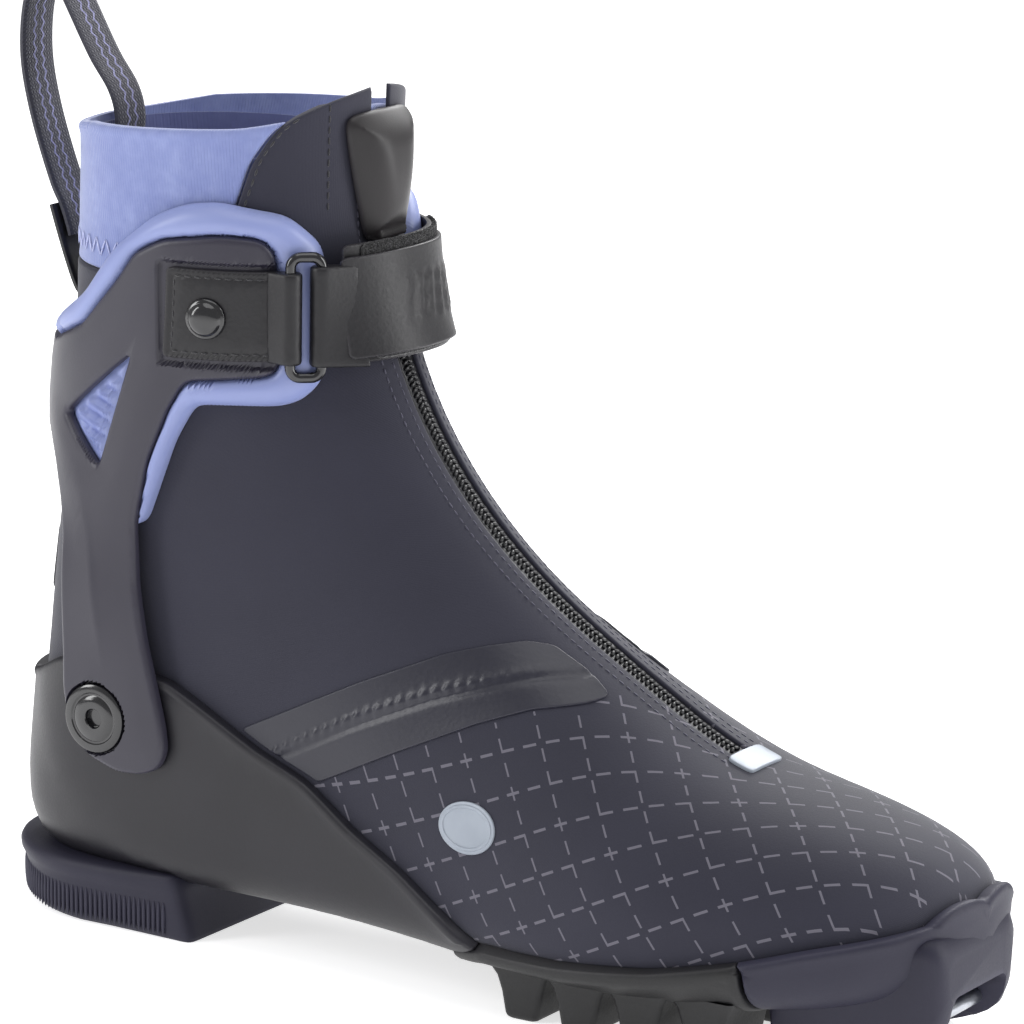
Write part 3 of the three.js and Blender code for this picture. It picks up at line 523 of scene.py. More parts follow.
class Bench:
    """Adds nodes to one tree; a value may be a number or another node's output."""

    def __init__(self, tree):
        self.tree = tree

    def add(self, kind, settings=None, **values):
        node = self.tree.nodes.new(kind)
        for key, value in (settings or {}).items():
            setattr(node, key, value)
        for key, value in values.items():
            self.feed(node.inputs[key.replace("_", " ")], value)
        return node

    def feed(self, socket, value):
        if isinstance(value, bpy.types.NodeSocket):
            self.tree.links.new(value, socket)
        else:
            socket.default_value = value

    def math(self, operation, *values):
        node = self.tree.nodes.new("ShaderNodeMath")
        node.operation = operation
        for socket, value in zip(node.inputs, values):
            self.feed(socket, value)
        return node.outputs[0]

    def band(self, value, centre, half_width):
        """1 where a value is within half_width of centre, else 0."""
        return self.math("COMPARE", value, centre, half_width)

    def blend(self, mask, first, second):
        node = self.tree.nodes.new("ShaderNodeMix")
        node.data_type = "RGBA"
        for index, value in ((0, mask), (6, first), (7, second)):
            self.feed(node.inputs[index], value)
        return node.outputs[2]


def effect(name, inputs, outputs):
    """An empty node group with named inputs and outputs."""
    tree = bpy.data.node_groups.new(name, "ShaderNodeTree")
    for label, kind, value in inputs:
        socket = tree.interface.new_socket(label, in_out="INPUT", socket_type=kind)
        if value is not None:
            socket.default_value = value
    for label, kind in outputs:
        tree.interface.new_socket(label, in_out="OUTPUT", socket_type=kind)
    bench = Bench(tree)
    return tree, bench, tree.nodes.new("NodeGroupInput"), tree.nodes.new("NodeGroupOutput")


FLOAT, VECTOR = "NodeSocketFloat", "NodeSocketVector"

# %% Shared effect: fine grain
grain_tree, bench, given, result = effect(
    "fine grain", [("Position", VECTOR, None), ("Grains per metre", FLOAT, 900.0)],
    [("Height", FLOAT), ("Mask", FLOAT)])
cells = bench.add("ShaderNodeTexVoronoi", Vector=given.outputs[0], Scale=given.outputs[1])
fine = bench.add("ShaderNodeTexNoise", Vector=given.outputs[0],
                 Scale=bench.math("MULTIPLY", given.outputs[1], 1.7))
bench.feed(result.inputs[0], bench.math("ADD", bench.math("MULTIPLY", cells.outputs["Distance"], 0.7),
                                        bench.math("MULTIPLY", fine.outputs[0], 0.6)))
bench.feed(result.inputs[1], fine.outputs[0])

# %% Shared effect: woven threads
weave_tree, bench, given, result = effect(
    "woven threads", [("Place", VECTOR, None), ("Threads per mm", FLOAT, 2.0), ("Rib", FLOAT, 0.0)],
    [("Height", FLOAT), ("Mask", FLOAT)])
split = bench.add("ShaderNodeSeparateXYZ", Vector=given.outputs[0])
turns = bench.math("MULTIPLY", given.outputs[1], 2 * math.pi)
warp = bench.math("SINE", bench.math("MULTIPLY", split.outputs[0], turns))
weft = bench.math("SINE", bench.math("MULTIPLY", split.outputs[1], turns))
plain = bench.math("MULTIPLY", warp, weft)
mixed = bench.add("ShaderNodeMix", Factor=given.outputs[2])
bench.feed(mixed.inputs[2], plain)
bench.feed(mixed.inputs[3], weft)
bench.feed(result.inputs[0], bench.math("MULTIPLY_ADD", mixed.outputs[0], 0.5, 0.5))
bench.feed(result.inputs[1], bench.math("GREATER_THAN", mixed.outputs[0], 0.25))

# %% Shared effect: soft colour drift
drift_tree, bench, given, result = effect(
    "soft drift", [("Position", VECTOR, None), ("Patches per metre", FLOAT, 40.0), ("Contrast", FLOAT, 1.0)],
    [("Mask", FLOAT)])
cloud = bench.add("ShaderNodeTexNoise", Vector=given.outputs[0], Scale=given.outputs[1], Detail=4.0)
centred = bench.math("SUBTRACT", cloud.outputs[0], 0.5)
drifted = bench.add("ShaderNodeClamp", Value=bench.math("MULTIPLY_ADD", centred, given.outputs[2], 0.5))
bench.feed(result.inputs[0], drifted.outputs[0])

# %% Shared effect: wear along a cut edge
wear_tree, bench, given, result = effect(
    "edge wear", [("Position", VECTOR, None), ("Edge", FLOAT, 5.0), ("Width", FLOAT, 1.2)], [("Mask", FLOAT)])
rough = bench.add("ShaderNodeTexNoise", Vector=given.outputs[0], Scale=420.0, Detail=3.0)
reach = bench.math("MULTIPLY", given.outputs[2], bench.math("MULTIPLY_ADD", rough.outputs[0], 1.4, 0.2))
near = bench.math("SUBTRACT", 1.0, bench.math("DIVIDE", given.outputs[1], reach))
worn = bench.add("ShaderNodeClamp", Value=near)
bench.feed(result.inputs[0], worn.outputs[0])

# %% [markdown]
# The printed grid on the forefoot is two families of parallel dashed lines, bent with the fabric. Seven
# dashes fill four squares, so the crossings show a plus, an L, a gap and a turned L in turn. The group
# works in millimetres along the foot and around it, so the print wraps over the toes like the real one.

# %% Shared effect: dashed grid print
print_tree, bench, given, result = effect("dashed grid", [("Place", VECTOR, None)], [("Mask", FLOAT)])
split = bench.add("ShaderNodeSeparateXYZ", Vector=given.outputs[0])
x_mm = bench.math("SUBTRACT", split.outputs[0], 200.2)
g_mm = bench.math("SUBTRACT", split.outputs[1], 50.4)
i = bench.math("ADD", bench.math("MULTIPLY", x_mm, 0.0625), bench.math("MULTIPLY", g_mm, -0.0525))
j = bench.math("ADD", bench.math("MULTIPLY", x_mm, 0.0679), bench.math("MULTIPLY", g_mm, 0.0879))
near_i, near_j = bench.math("ROUND", i), bench.math("ROUND", j)
off_i, off_j = bench.math("SUBTRACT", i, near_i), bench.math("SUBTRACT", j, near_j)
on_i, on_j = bench.band(off_i, 0.0, 0.024), bench.band(off_j, 0.0, 0.033)
both = lambda a, b: bench.math("MULTIPLY", a, b)


def dashes(run, line):
    """Even dashes along a printed line, seven to every four squares, starting from each line's own plus."""
    turns = bench.math("MULTIPLY_ADD", bench.math("SUBTRACT", run, line), 1.75, 0.5)
    return bench.band(bench.math("FLOORED_MODULO", turns, 1.0), 0.5, 0.29)


marks = bench.math("MAXIMUM", both(on_i, dashes(j, near_i)), both(on_j, dashes(i, near_j)))
bench.feed(result.inputs[0], marks)
print("shared effects:", ", ".join(sorted(g.name for g in bpy.data.node_groups)))


# %% A finish for a surface
class Finish(Bench):
    """A material: a Principled shader, with the constants that export well on its own sockets."""

    def __init__(self, name, colour, roughness, **settings):
        self.material = bpy.data.materials.new(name)
        self.material.use_nodes = True
        super().__init__(self.material.node_tree)
        self.shader = self.tree.nodes["Principled BSDF"]
        self.shader.inputs["Base Color"].default_value = tint(colour)
        self.shader.inputs["Roughness"].default_value = roughness
        for key, value in settings.items():
            self.shader.inputs[key.replace("_", " ")].default_value = value
        self.colour = tint(colour)
        texture = self.add("ShaderNodeTexCoord")
        self.position, self.place = texture.outputs["Object"], texture.outputs["UV"]
        self.edge = self.add("ShaderNodeAttribute", {"attribute_name": "edge"}).outputs["Fac"]
        self.height = None

    def use(self, tree, **values):
        node = self.add("ShaderNodeGroup", {"node_tree": tree})
        for key, value in values.items():
            self.feed(node.inputs[key.replace("_", " ")], value)
        return node

    def drift(self, other, patches=40.0, contrast=1.0):
        """Lets the colour wander softly towards another."""
        mask = self.use(drift_tree, Position=self.position, Patches_per_metre=patches,
                        Contrast=contrast).outputs[0]
        self.colour = self.blend(mask, self.colour, tint(other) if isinstance(other, str) else other)
        return self

    def over(self, mask, colour):
        """Lays a colour over the surface where a mask is 1."""
        self.colour = self.blend(mask, self.colour, tint(colour))
        return self

    def worn(self, colour, width=1.2, amount=0.5):
        mask = self.use(wear_tree, Position=self.position, Edge=self.edge, Width=width).outputs[0]
        return self.over(self.math("MULTIPLY", mask, amount), colour)

    def relief(self, height, depth_mm):
        """Adds fine relief, in millimetres, on top of what is there."""
        bump = self.add("ShaderNodeBump", Height=height, Distance=depth_mm * MM)
        bump.inputs["Strength"].default_value = 1.0
        if self.height is not None:
            self.feed(bump.inputs["Normal"], self.height)
        self.height = bump.outputs[0]
        return self

    def vary_roughness(self, mask, low, high):
        self.feed(self.shader.inputs["Roughness"], self.math("MULTIPLY_ADD", mask, high - low, low))
        return self

    def done(self):
        if isinstance(self.colour, bpy.types.NodeSocket):
            self.feed(self.shader.inputs["Base Color"], self.colour)
        if self.height is not None:
            self.feed(self.shader.inputs["Normal"], self.height)
        return self.material


def grained(finish, per_metre, depth, low, high):
    """Fine moulded or leather grain that also breaks up the gloss."""
    grain = finish.use(grain_tree, Position=finish.position, Grains_per_metre=per_metre)
    return finish.relief(grain.outputs[0], depth).vary_roughness(grain.outputs[1], low, high)


# %% Soft materials
skin = Finish("softshell_print", "252532", 0.74, Sheen_Weight=0.2, Sheen_Roughness=0.5,
              Specular_IOR_Level=0.28)
skin.drift("2c2c3a", 26.0, 1.6)
threads = skin.use(weave_tree, Place=skin.place, Threads_per_mm=2.6, Rib=0.0)
skin.relief(threads.outputs[0], 0.018)
flecks = skin.use(grain_tree, Position=skin.position, Grains_per_metre=1500.0)
skin.relief(flecks.outputs[0], 0.02)
# The printed field starts below the welded bands.
printed = skin.add("ShaderNodeAttribute", {"attribute_name": "printed"}).outputs["Fac"]
grid = skin.use(print_tree, Place=skin.place)
ink = skin.math("MULTIPLY", grid.outputs[0], skin.math("GREATER_THAN", printed, 0.5))
skin.over(ink, "64626d")
skin.vary_roughness(flecks.outputs[1], 0.62, 0.82)
softshell = skin.done()

knit_finish = Finish("brushed_knit", "7f8abb", 0.85, Sheen_Weight=0.5, Sheen_Roughness=0.4)
knit_finish.drift("929dca", 300.0, 2.6).drift("7681b4", 60.0, 1.4)
knit_rows = knit_finish.use(weave_tree, Place=knit_finish.place, Threads_per_mm=1.1, Rib=0.55)
knit_finish.relief(knit_rows.outputs[0], 0.10)
fuzz = knit_finish.use(grain_tree, Position=knit_finish.position, Grains_per_metre=1100.0)
knit_finish.relief(fuzz.outputs[0], 0.05)
knit = knit_finish.done()

liner_finish = Finish("moulded_liner", "8a95c4", 0.42, Specular_IOR_Level=0.5, Coat_Weight=0.15,
                      Coat_Roughness=0.25)
liner_finish.drift("808bbe", 45.0, 1.2).worn("aab3dc", 1.0, 0.3)
liner_grain = liner_finish.use(grain_tree, Position=liner_finish.position, Grains_per_metre=2200.0)
liner_finish.relief(liner_grain.outputs[0], 0.012)
liner = liner_finish.done()

film_finish = Finish("welded_film", "262632", 0.34, Specular_IOR_Level=0.5)
film_finish.drift("21212c", 50.0, 1.2).worn("353542", 0.6, 0.35)
film = grained(film_finish, 700.0, 0.03, 0.28, 0.44).done()

garage_finish = Finish("garage_film", "211f21", 0.42, Specular_IOR_Level=0.4)
garage_finish.drift("262325", 60.0, 1.4).worn("343034", 0.9, 0.4)
garage_film = grained(garage_finish, 1600.0, 0.012, 0.36, 0.5).done()

lining_finish = Finish("brushed_lining", "5f6694", 0.9, Sheen_Weight=0.4)
lining_finish.drift("6a71a0", 200.0, 2.0)
lining_rows = lining_finish.use(weave_tree, Place=lining_finish.place, Threads_per_mm=0.9, Rib=0.5)
lining = lining_finish.relief(lining_rows.outputs[0], 0.08).done()

foam_finish = Finish("footbed_cloth", "4e4f58", 0.92)
foam_finish.drift("5d5e68", 180.0, 2.0)
foam = grained(foam_finish, 900.0, 0.06, 0.85, 0.96).done()

# %% Moulded materials
cuff_finish = Finish("cuff_plastic", "292733", 0.38, Specular_IOR_Level=0.45, Coat_Weight=0.12,
                     Coat_Roughness=0.4)
cuff_finish.drift("2e2c39", 30.0, 1.2).worn("454353", 1.6, 0.4)
cuff_plastic = grained(cuff_finish, 1400.0, 0.016, 0.34, 0.46).done()

shell_finish = Finish("shell_plastic", "151419", 0.42, Specular_IOR_Level=0.42)
shell_finish.drift("201f26", 25.0, 1.4).worn("33323b", 1.2, 0.4)
shell_plastic = grained(shell_finish, 1100.0, 0.02, 0.36, 0.5).done()

tread_finish = Finish("tread_rubber", "242332", 0.55, Specular_IOR_Level=0.34)
tread_finish.drift("292838", 40.0, 1.4).worn("434254", 1.0, 0.35)
tread_rubber = grained(tread_finish, 1300.0, 0.02, 0.48, 0.64).done()

outsole_finish = Finish("outsole_rubber", "0d0d0f", 0.5, Specular_IOR_Level=0.45)
outsole_finish.drift("161618", 60.0, 1.6).worn("2a292e", 1.0, 0.4)
outsole_rubber = grained(outsole_finish, 1000.0, 0.03, 0.4, 0.6).done()

leather_finish = Finish("fine_leather", "141317", 0.44, Specular_IOR_Level=0.45)
leather_finish.drift("1a191d", 70.0, 1.6).worn("38363b", 0.8, 0.5)
leather = grained(leather_finish, 750.0, 0.05, 0.36, 0.56).done()

pile_finish = Finish("loop_pile", "0c0c0e", 0.95, Sheen_Weight=0.4, Sheen_Roughness=0.6)
pile_finish.drift("222126", 700.0, 3.0)
pile = grained(pile_finish, 1400.0, 0.25, 0.9, 1.0).done()

coil_finish = Finish("zip_coil", "0c0c0f", 0.36, Specular_IOR_Level=0.45)
coil_finish.drift("15151a", 300.0, 2.0)
coil = grained(coil_finish, 1500.0, 0.02, 0.24, 0.4).done()

tape_finish = Finish("coated_tape", "131317", 0.38, Specular_IOR_Level=0.4)
tape_finish.drift("1a1a20", 120.0, 2.0)
tape_rows = tape_finish.use(weave_tree, Place=tape_finish.place, Threads_per_mm=1.3, Rib=0.8)
tape = tape_finish.relief(tape_rows.outputs[0], 0.05).done()

# %% Webbing, metal, gloss and thread
web_finish = Finish("ribbed_webbing", "2e2e39", 0.8, Sheen_Weight=0.3)
web_rows = web_finish.use(weave_tree, Place=web_finish.place, Threads_per_mm=0.85, Rib=0.35)
web_finish.over(web_rows.outputs[1], "3a3a46")
web_place = web_finish.add("ShaderNodeSeparateXYZ", Vector=web_finish.place)
wave = web_finish.math("SINE", web_finish.math("MULTIPLY", web_place.outputs[0], 1.9))
wander = web_finish.math("MULTIPLY", wave, 0.5)
for centre in (-1.7, 1.7):
    thread_mask = web_finish.band(web_finish.math("SUBTRACT", web_place.outputs[1], wander), centre, 0.36)
    web_finish.over(thread_mask, "8080a8")
webbing = web_finish.relief(web_rows.outputs[0], 0.22).done()

gloss_finish = Finish("black_gloss", "101012", 0.14, Specular_IOR_Level=0.6, Coat_Weight=0.4,
                      Coat_Roughness=0.08)
gloss_finish.drift("17171b", 90.0, 1.5)
smudge = gloss_finish.use(drift_tree, Position=gloss_finish.position, Patches_per_metre=220.0, Contrast=2.0)
black_gloss = gloss_finish.vary_roughness(smudge.outputs[0], 0.08, 0.22).done()

steel_finish = Finish("brushed_steel", "b9bcc2", 0.3, Metallic=1.0)
streaks = steel_finish.add("ShaderNodeMapping", Vector=steel_finish.position)
streaks.inputs["Scale"].default_value = (6.0, 0.4, 6.0)
brushed = steel_finish.use(grain_tree, Position=streaks.outputs[0], Grains_per_metre=400.0)
steel_finish.drift("9da1a9", 150.0, 1.8)
steel = steel_finish.relief(brushed.outputs[0], 0.01).vary_roughness(brushed.outputs[1], 0.22, 0.42).done()

silver_finish = Finish("silver_film", "9098a3", 0.42, Metallic=0.1, Specular_IOR_Level=0.35)
silver_finish.drift("9fa6b1", 120.0, 1.5)
silver_film = grained(silver_finish, 2400.0, 0.01, 0.28, 0.42).done()


def thread_finish(name, colour, other):
    finish = Finish(name, colour, 0.75, Sheen_Weight=0.3)
    finish.drift(other, 900.0, 2.5)
    return grained(finish, 3500.0, 0.03, 0.66, 0.84).done()


dark_thread = thread_finish("dark_thread", "131317", "222128")
pale_thread = thread_finish("pale_thread", "c3c8e8", "aab1da")
navy_thread = thread_finish("navy_thread", "3b3a4a", "474658")
print("finishes:", len(bpy.data.materials))

# %% [markdown]
# Small things that repeat, such as stitches, zip coils, tread ribs and pile hairs, are set by Geometry
# Nodes. The tree puts one softened bead on every point of a host mesh, turned by two directions stored on
# the points. Its sizes are named inputs, so one tree serves them all. Modelling each one by hand would
# take thousands.

# %% One tree that sets beads on points
def bead_tree():
    tree = bpy.data.node_groups.new("set beads", "GeometryNodeTree")
    fields = (
        ("Geometry", "NodeSocketGeometry", None),
        ("Length", FLOAT, 0.002),
        ("Width", FLOAT, 0.0006),
        ("Height", FLOAT, 0.0005),
        ("Segments", "NodeSocketInt", 8),
        ("Rings", "NodeSocketInt", 5),
        ("Material", "NodeSocketMaterial", None),
    )
    for label, kind, value in fields:
        socket = tree.interface.new_socket(label, in_out="INPUT", socket_type=kind)
        if value is not None:
            socket.default_value = value
    tree.interface.new_socket("Geometry", in_out="OUTPUT", socket_type="NodeSocketGeometry")
    bench = Bench(tree)
    given, result = tree.nodes.new("NodeGroupInput"), tree.nodes.new("NodeGroupOutput")
    bead = bench.add("GeometryNodeMeshUVSphere", Segments=given.outputs["Segments"],
                     Rings=given.outputs["Rings"],
                     Radius=0.5)
    smooth = bench.add("GeometryNodeSetShadeSmooth", Geometry=bead.outputs[0])
    along = bench.add("GeometryNodeInputNamedAttribute", {"data_type": "FLOAT_VECTOR"}, Name="along")
    out = bench.add("GeometryNodeInputNamedAttribute", {"data_type": "FLOAT_VECTOR"}, Name="out")
    size = bench.add("ShaderNodeCombineXYZ", X=given.outputs["Width"], Y=given.outputs["Height"],
                     Z=given.outputs["Length"])
    turn = bench.add("FunctionNodeAxesToRotation", {"primary_axis": "Z", "secondary_axis": "Y"})
    bench.feed(turn.inputs[0], along.outputs[0])
    bench.feed(turn.inputs[1], out.outputs[0])
    points = bench.add("GeometryNodeMeshToPoints", Mesh=given.outputs["Geometry"])
    setter = bench.add("GeometryNodeInstanceOnPoints", Points=points.outputs[0], Instance=smooth.outputs[0],
                       Rotation=turn.outputs[0], Scale=size.outputs[0])
    real = bench.add("GeometryNodeRealizeInstances", Geometry=setter.outputs[0])
    painted = bench.add("GeometryNodeSetMaterial", Geometry=real.outputs[0],
                        Material=given.outputs["Material"])
    bench.feed(result.inputs[0], painted.outputs[0])
    return tree


BEADS = bead_tree()


def beads(name, points, along, out, material, length, width, height, segments=8, rings=5):
    """One mesh of beads at points in heel millimetres; sizes are in millimetres."""
    host = new_piece(name + "_host", points, [])
    for label, value in (("along", along), ("out", out)):
        attribute = host.data.attributes.new(label, "FLOAT_VECTOR", "POINT")
        attribute.data.foreach_set("vector", np.asarray(value, np.float32).ravel())
    modifier = host.modifiers.new("beads", "NODES")
    modifier.node_group = BEADS
    sockets = {item.name: item.identifier for item in BEADS.interface.items_tree if item.in_out == "INPUT"}
    for label, value in (("Length", length * MM), ("Width", width * MM), ("Height", height * MM),
                         ("Segments", segments), ("Rings", rings), ("Material", material)):
        modifier[sockets[label]] = value
    mesh = bpy.data.meshes.new_from_object(host.evaluated_get(bpy.context.evaluated_depsgraph_get()))
    host.modifiers.remove(modifier)
    bpy.data.objects.remove(host)
    mesh.name = name
    obj = bpy.data.objects.new(name, mesh)
    scene.collection.objects.link(obj)
    return obj


def even_path(path, pitch):
    """Places and directions every pitch millimetres along a path of 3D points."""
    run = np.r_[0, np.cumsum(np.linalg.norm(np.diff(path, axis=0), axis=1))]
    at = np.arange(pitch / 2, run[-1], pitch)
    line = lambda s: np.stack([np.interp(s, run, path[:, k]) for k in range(3)], -1)
    direction = line(at + 0.3) - line(at - 0.3)
    return line(at), direction / (np.linalg.norm(direction, axis=1, keepdims=True) + 1e-12), at / run[-1]


def seam_points(lines, height, pitch):
    """Stitch places along lines of stations and angles, at a height above the form."""
    spots, ways, outs = [], [], []
    for line in lines:
        path = surface(line[:, 0], line[:, 1], height)
        place_on, way, share = even_path(path, pitch)
        length = np.linalg.norm(np.diff(path, axis=0), axis=1)
        steps = np.r_[0, np.cumsum(length)] / length.sum()
        u, phi = np.interp(share, steps, line[:, 0]), np.interp(share, steps, line[:, 1])
        spots.append(place_on)
        ways.append(way)
        outs.append(outward(u, phi))
    return np.vstack(spots), np.vstack(ways), np.vstack(outs)


def stitches(name, lines, height, material, pitch=2.6, length=1.9, thick=0.5):
    spots, ways, outs = seam_points(lines, height, pitch)
    return beads(name, spots, ways, outs, material, length, thick, thick * 0.8, 6, 4)


# %% [markdown]
# Two more shapes are used again and again: a loft through a stack of rings, for webbing, wire, lugs and
# heel, and a turned profile, for screws and rivets. Both close their ends and check which way their faces
# point.

# %% Lofts and turned parts
def loft(name, rings, material, closed=False, sharp=40):
    """Joins rings of equal point count; closed joins the last to the first."""
    rings = np.asarray(rings, float)
    count, size = rings.shape[:2]
    points = rings.reshape(-1, 3)
    faces = []
    for a in range(count if closed else count - 1):
        b = (a + 1) % count
        faces += [(a * size + k, a * size + (k + 1) % size, b * size + (k + 1) % size, b * size + k)
                  for k in range(size)]
    if not closed:
        faces += [tuple(range(size))[::-1], tuple(range((count - 1) * size, count * size))]
    centre = points.mean(0)
    volume = 0.0
    for face in faces:
        p = points[list(face)] - centre
        for k in range(1, len(face) - 1):
            volume += np.dot(p[0], np.cross(p[k], p[k + 1]))
    if volume < 0:
        faces = [face[::-1] for face in faces]
    obj = new_piece(name, points, faces, material)
    attribute = obj.data.attributes.new("edge", "FLOAT", "POINT")
    attribute.data.foreach_set("value", np.full(len(points), 5.0, np.float32))
    return finish_mesh(obj, sharp)


def circle(centre, first, second, radius, count=16):
    turn = np.linspace(0, 2 * math.pi, count, endpoint=False)[:, None]
    return centre + radius * (np.cos(turn) * first + np.sin(turn) * second)


def turned(name, foot, axis, profile, material, count=48, sharp=35):
    """Round part: profile [radius, height along the axis], from the axis out and back to it."""
    axis = np.asarray(axis, float) / np.linalg.norm(axis)
    first = np.cross(axis, [0.3, 0.2, 0.93])
    first /= np.linalg.norm(first)
    second = np.cross(axis, first)
    rings = [circle(foot + axis * h, first, second, max(r, 0.02), count) for r, h in profile]
    return loft(name, rings, material, sharp=sharp)


def rounded_plate(half_x, half_y, corner, count=6):
    """Outline of a rectangle with round corners."""
    points = []
    for k, (sx, sy) in enumerate(((1, 1), (-1, 1), (-1, -1), (1, -1))):
        for t in np.linspace(0, math.pi / 2, count):
            turn = t + k * math.pi / 2
            points.append((sx * (half_x - corner) + corner * math.cos(turn),
                           sy * (half_y - corner) + corner * math.sin(turn)))
    return np.array(points)


def join(name, parts):
    """Joins finished pieces into one mesh."""
    work = bmesh.new()
    for part in parts:
        work.from_mesh(part.data)
    mesh = bpy.data.meshes.new(name)
    for material in parts[0].data.materials:
        mesh.materials.append(material)
    work.to_mesh(mesh)
    work.free()
    obj = bpy.data.objects.new(name, mesh)
    scene.collection.objects.link(obj)
    for part in parts:
        bpy.data.objects.remove(part)
    return obj


def level_line(z, first, last, count=24):
    """Line around the form at one height."""
    phi = np.linspace(first, last, count)
    return np.stack([at_height(z, phi), phi], -1)


def across_sole_line(x, first, last, count=16):
    """Line across the sole at one length."""
    phi = np.linspace(first, last, count)
    low, high = np.full(count, 0.3), np.full(count, 12.5)
    for _ in range(36):
        middle = (low + high) / 2
        ahead = form(middle, phi)[..., 0] > x
        low, high = np.where(ahead, middle, low), np.where(ahead, high, middle)
    return np.stack([low, phi], -1)


def front_line(first, last, y, count=60):
    """Line along the front, y millimetres from the middle."""
    u = np.linspace(first, last, count)
    return np.stack([u, across_front(u, np.broadcast_to(y, u.shape))], -1)


def front_outline(first, last, outer, inner, soft=1.2):
    """Outline of a strip along the front; its half widths may change from end to end."""
    outer, inner = np.broadcast_to(outer, 2), np.broadcast_to(inner, 2)
    mm = 15.0
    ring = soft_ring([(first * mm, -outer[0]), (last * mm, -outer[1]), (last * mm, inner[1]),
                      (first * mm, inner[0])], 1.0, soft)
    u = ring[:, 0] / mm
    return np.stack([u, across_front(u, ring[:, 1])], -1)


def wrap_outline(first, last, low, high, soft=1.0, step=1.0):
    """Outline of a strip around the leg, between two drawn angles and two heights."""
    mm = 0.62
    ring = soft_ring([(first * mm, low), (last * mm, low), (last * mm, high), (first * mm, high)], step, soft)
    phi = even_angle(ring[:, 0] / mm)
    return np.stack([at_height(ring[:, 1], phi), phi], -1)


print("tools ready")

# %% [markdown]
# The softshell. On the real boot, stretch fabric covers the foot and leg in one smooth skin, so here it
# is one piece, with a slot for the zip and a cut-out for the collar. Separate panels would show gaps
# between the boot and the cuff.

# %% Softshell skin
SLOT = 3.9
SLOT_END = 5.75
collar_cut = locate(soft_line([(40, 175.6), (79.5, 191.6), (84.5, 207.6), (89.5, 215.6), (93, 219.3),
                               (101.5, 224.6)], 1.0, 1.6))
top_station = 17.55
rise_to_front = np.stack([np.linspace(collar_cut[-1, 0], top_station, 12),
                          np.linspace(collar_cut[-1, 1], across_front(top_station, -SLOT), 12)], -1)[1:]
slot_side = front_line(top_station, SLOT_END, -SLOT, 90)[1:]
end_turn = np.linspace(0, math.pi, 14)[1:-1]
slot_end = np.stack([SLOT_END - 0.2 * np.sin(end_turn),
                     across_front(SLOT_END - 0.2 * np.sin(end_turn), -SLOT * np.cos(end_turn))], -1)
rear_level = level_line(175.6, math.pi, collar_cut[0, 1], 24)
outer_half = np.vstack([[0.05, math.pi], rear_level, collar_cut[1:], rise_to_front, slot_side])
skin_outline = np.vstack([outer_half, slot_end, outer_half[::-1] * [1, -1]])


def skin_floor(spot):
    beside_zip = (np.abs(spot.phi) < 0.5) & (spot.edge < 3.2) & (spot.u > SLOT_END - 0.4)
    return np.where(beside_zip, -1.0, -2.5)


softshell_skin = panel("softshell_skin", [skin_outline], 0.0, skin_floor, softshell, bevel=0.7, spacing=3.2,
                       rings=(2.2, 3.6), seam=(-math.pi, math.pi), edge_step=1.3)
mesh = softshell_skin.data
metres = np.zeros(len(mesh.vertices) * 3)
mesh.vertices.foreach_get("co", metres)
spots_mm = metres.reshape(-1, 3) / MM - HEEL
print_top = np.interp(spots_mm[:, 0], [100, 104, 132, 155, 168, 181, 186, 190],
                      [46, 48, 62, 72.5, 77.2, 79.3, 82, 200])
printed = np.clip(0.5 + (print_top - spots_mm[:, 2]) * 0.25, 0, 1)
attribute = mesh.attributes.new("printed", "FLOAT", "POINT")
attribute.data.foreach_set("value", printed.astype(np.float32))
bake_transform(softshell_skin)
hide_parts("vamp", "quarter_outer", "quarter_inner", "ankle_flex_outer", "ankle_flex_inner",
            "ankle_flex_rear", "shaft_outer", "shaft_inner")
print("softshell", len(mesh.polygons), "faces")

# %% [markdown]
# The collar is a brushed knit with a rolled rim. Behind, a zig-zag row joins it to the mesh below.

# %% Knit collar
edge_line = locate(soft_line([(40, 176), (79, 192), (84, 208), (89, 216), (91.8, 218.4)], 1.0, 1.6))
rim_line = locate(soft_line([(91.8, 218.4), (82, 216.5), (66, 215.5), (32, 213.5)], 1.0, 2.0))
collar_border = np.vstack([level_line(176, math.pi, edge_line[0, 1], 24)[1:-1], edge_line, rim_line[1:]])
rim_back = at_back(211)
rim_end = rim_line[-1]
rim_turn = np.stack([np.linspace(rim_end[0], rim_back, 14), np.linspace(rim_end[1], math.pi, 14)], -1)
collar_border = np.vstack([collar_border, rim_turn[1:-1]])


def collar_height(spot):
    rolled = np.exp(-((spot.edge - 1.6) / 1.3) ** 2) * (spot.base[:, 2] > 208)
    return -0.35 + 0.55 * rolled + 0.12 * np.sin(spot.base[:, 2] * 0.9) * (spot.base[:, 2] < 196)


knit_collar = panel("knit_collar", [mirror_outline(collar_border, at_back(176), rim_back)], collar_height,
                    -2.5, knit,
                    bevel=0.9, spacing=3.0, rings=(1.6, 2.4, 3.4))
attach(knit_collar, "cuff")
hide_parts("collar")
zig = np.arange(0, 2 * math.pi - 2.6, 0.055)
zig_phi = 1.3 + zig
zig_z = np.where(np.arange(len(zig)) % 2 == 0, 179.6, 184.4)
zig_line = np.stack([at_height(zig_z, zig_phi), zig_phi], -1)
zig_points = surface(zig_line[:, 0], zig_line[:, 1], -0.1)
middle, way = (zig_points[1:] + zig_points[:-1]) / 2, zig_points[1:] - zig_points[:-1]
collar_zigzag = beads("collar_zigzag", middle, way, outward(zig_line[1:, 0], zig_line[1:, 1]), pale_thread,
                      5.2, 0.55, 0.45, 6, 4)
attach(collar_zigzag, "cuff")

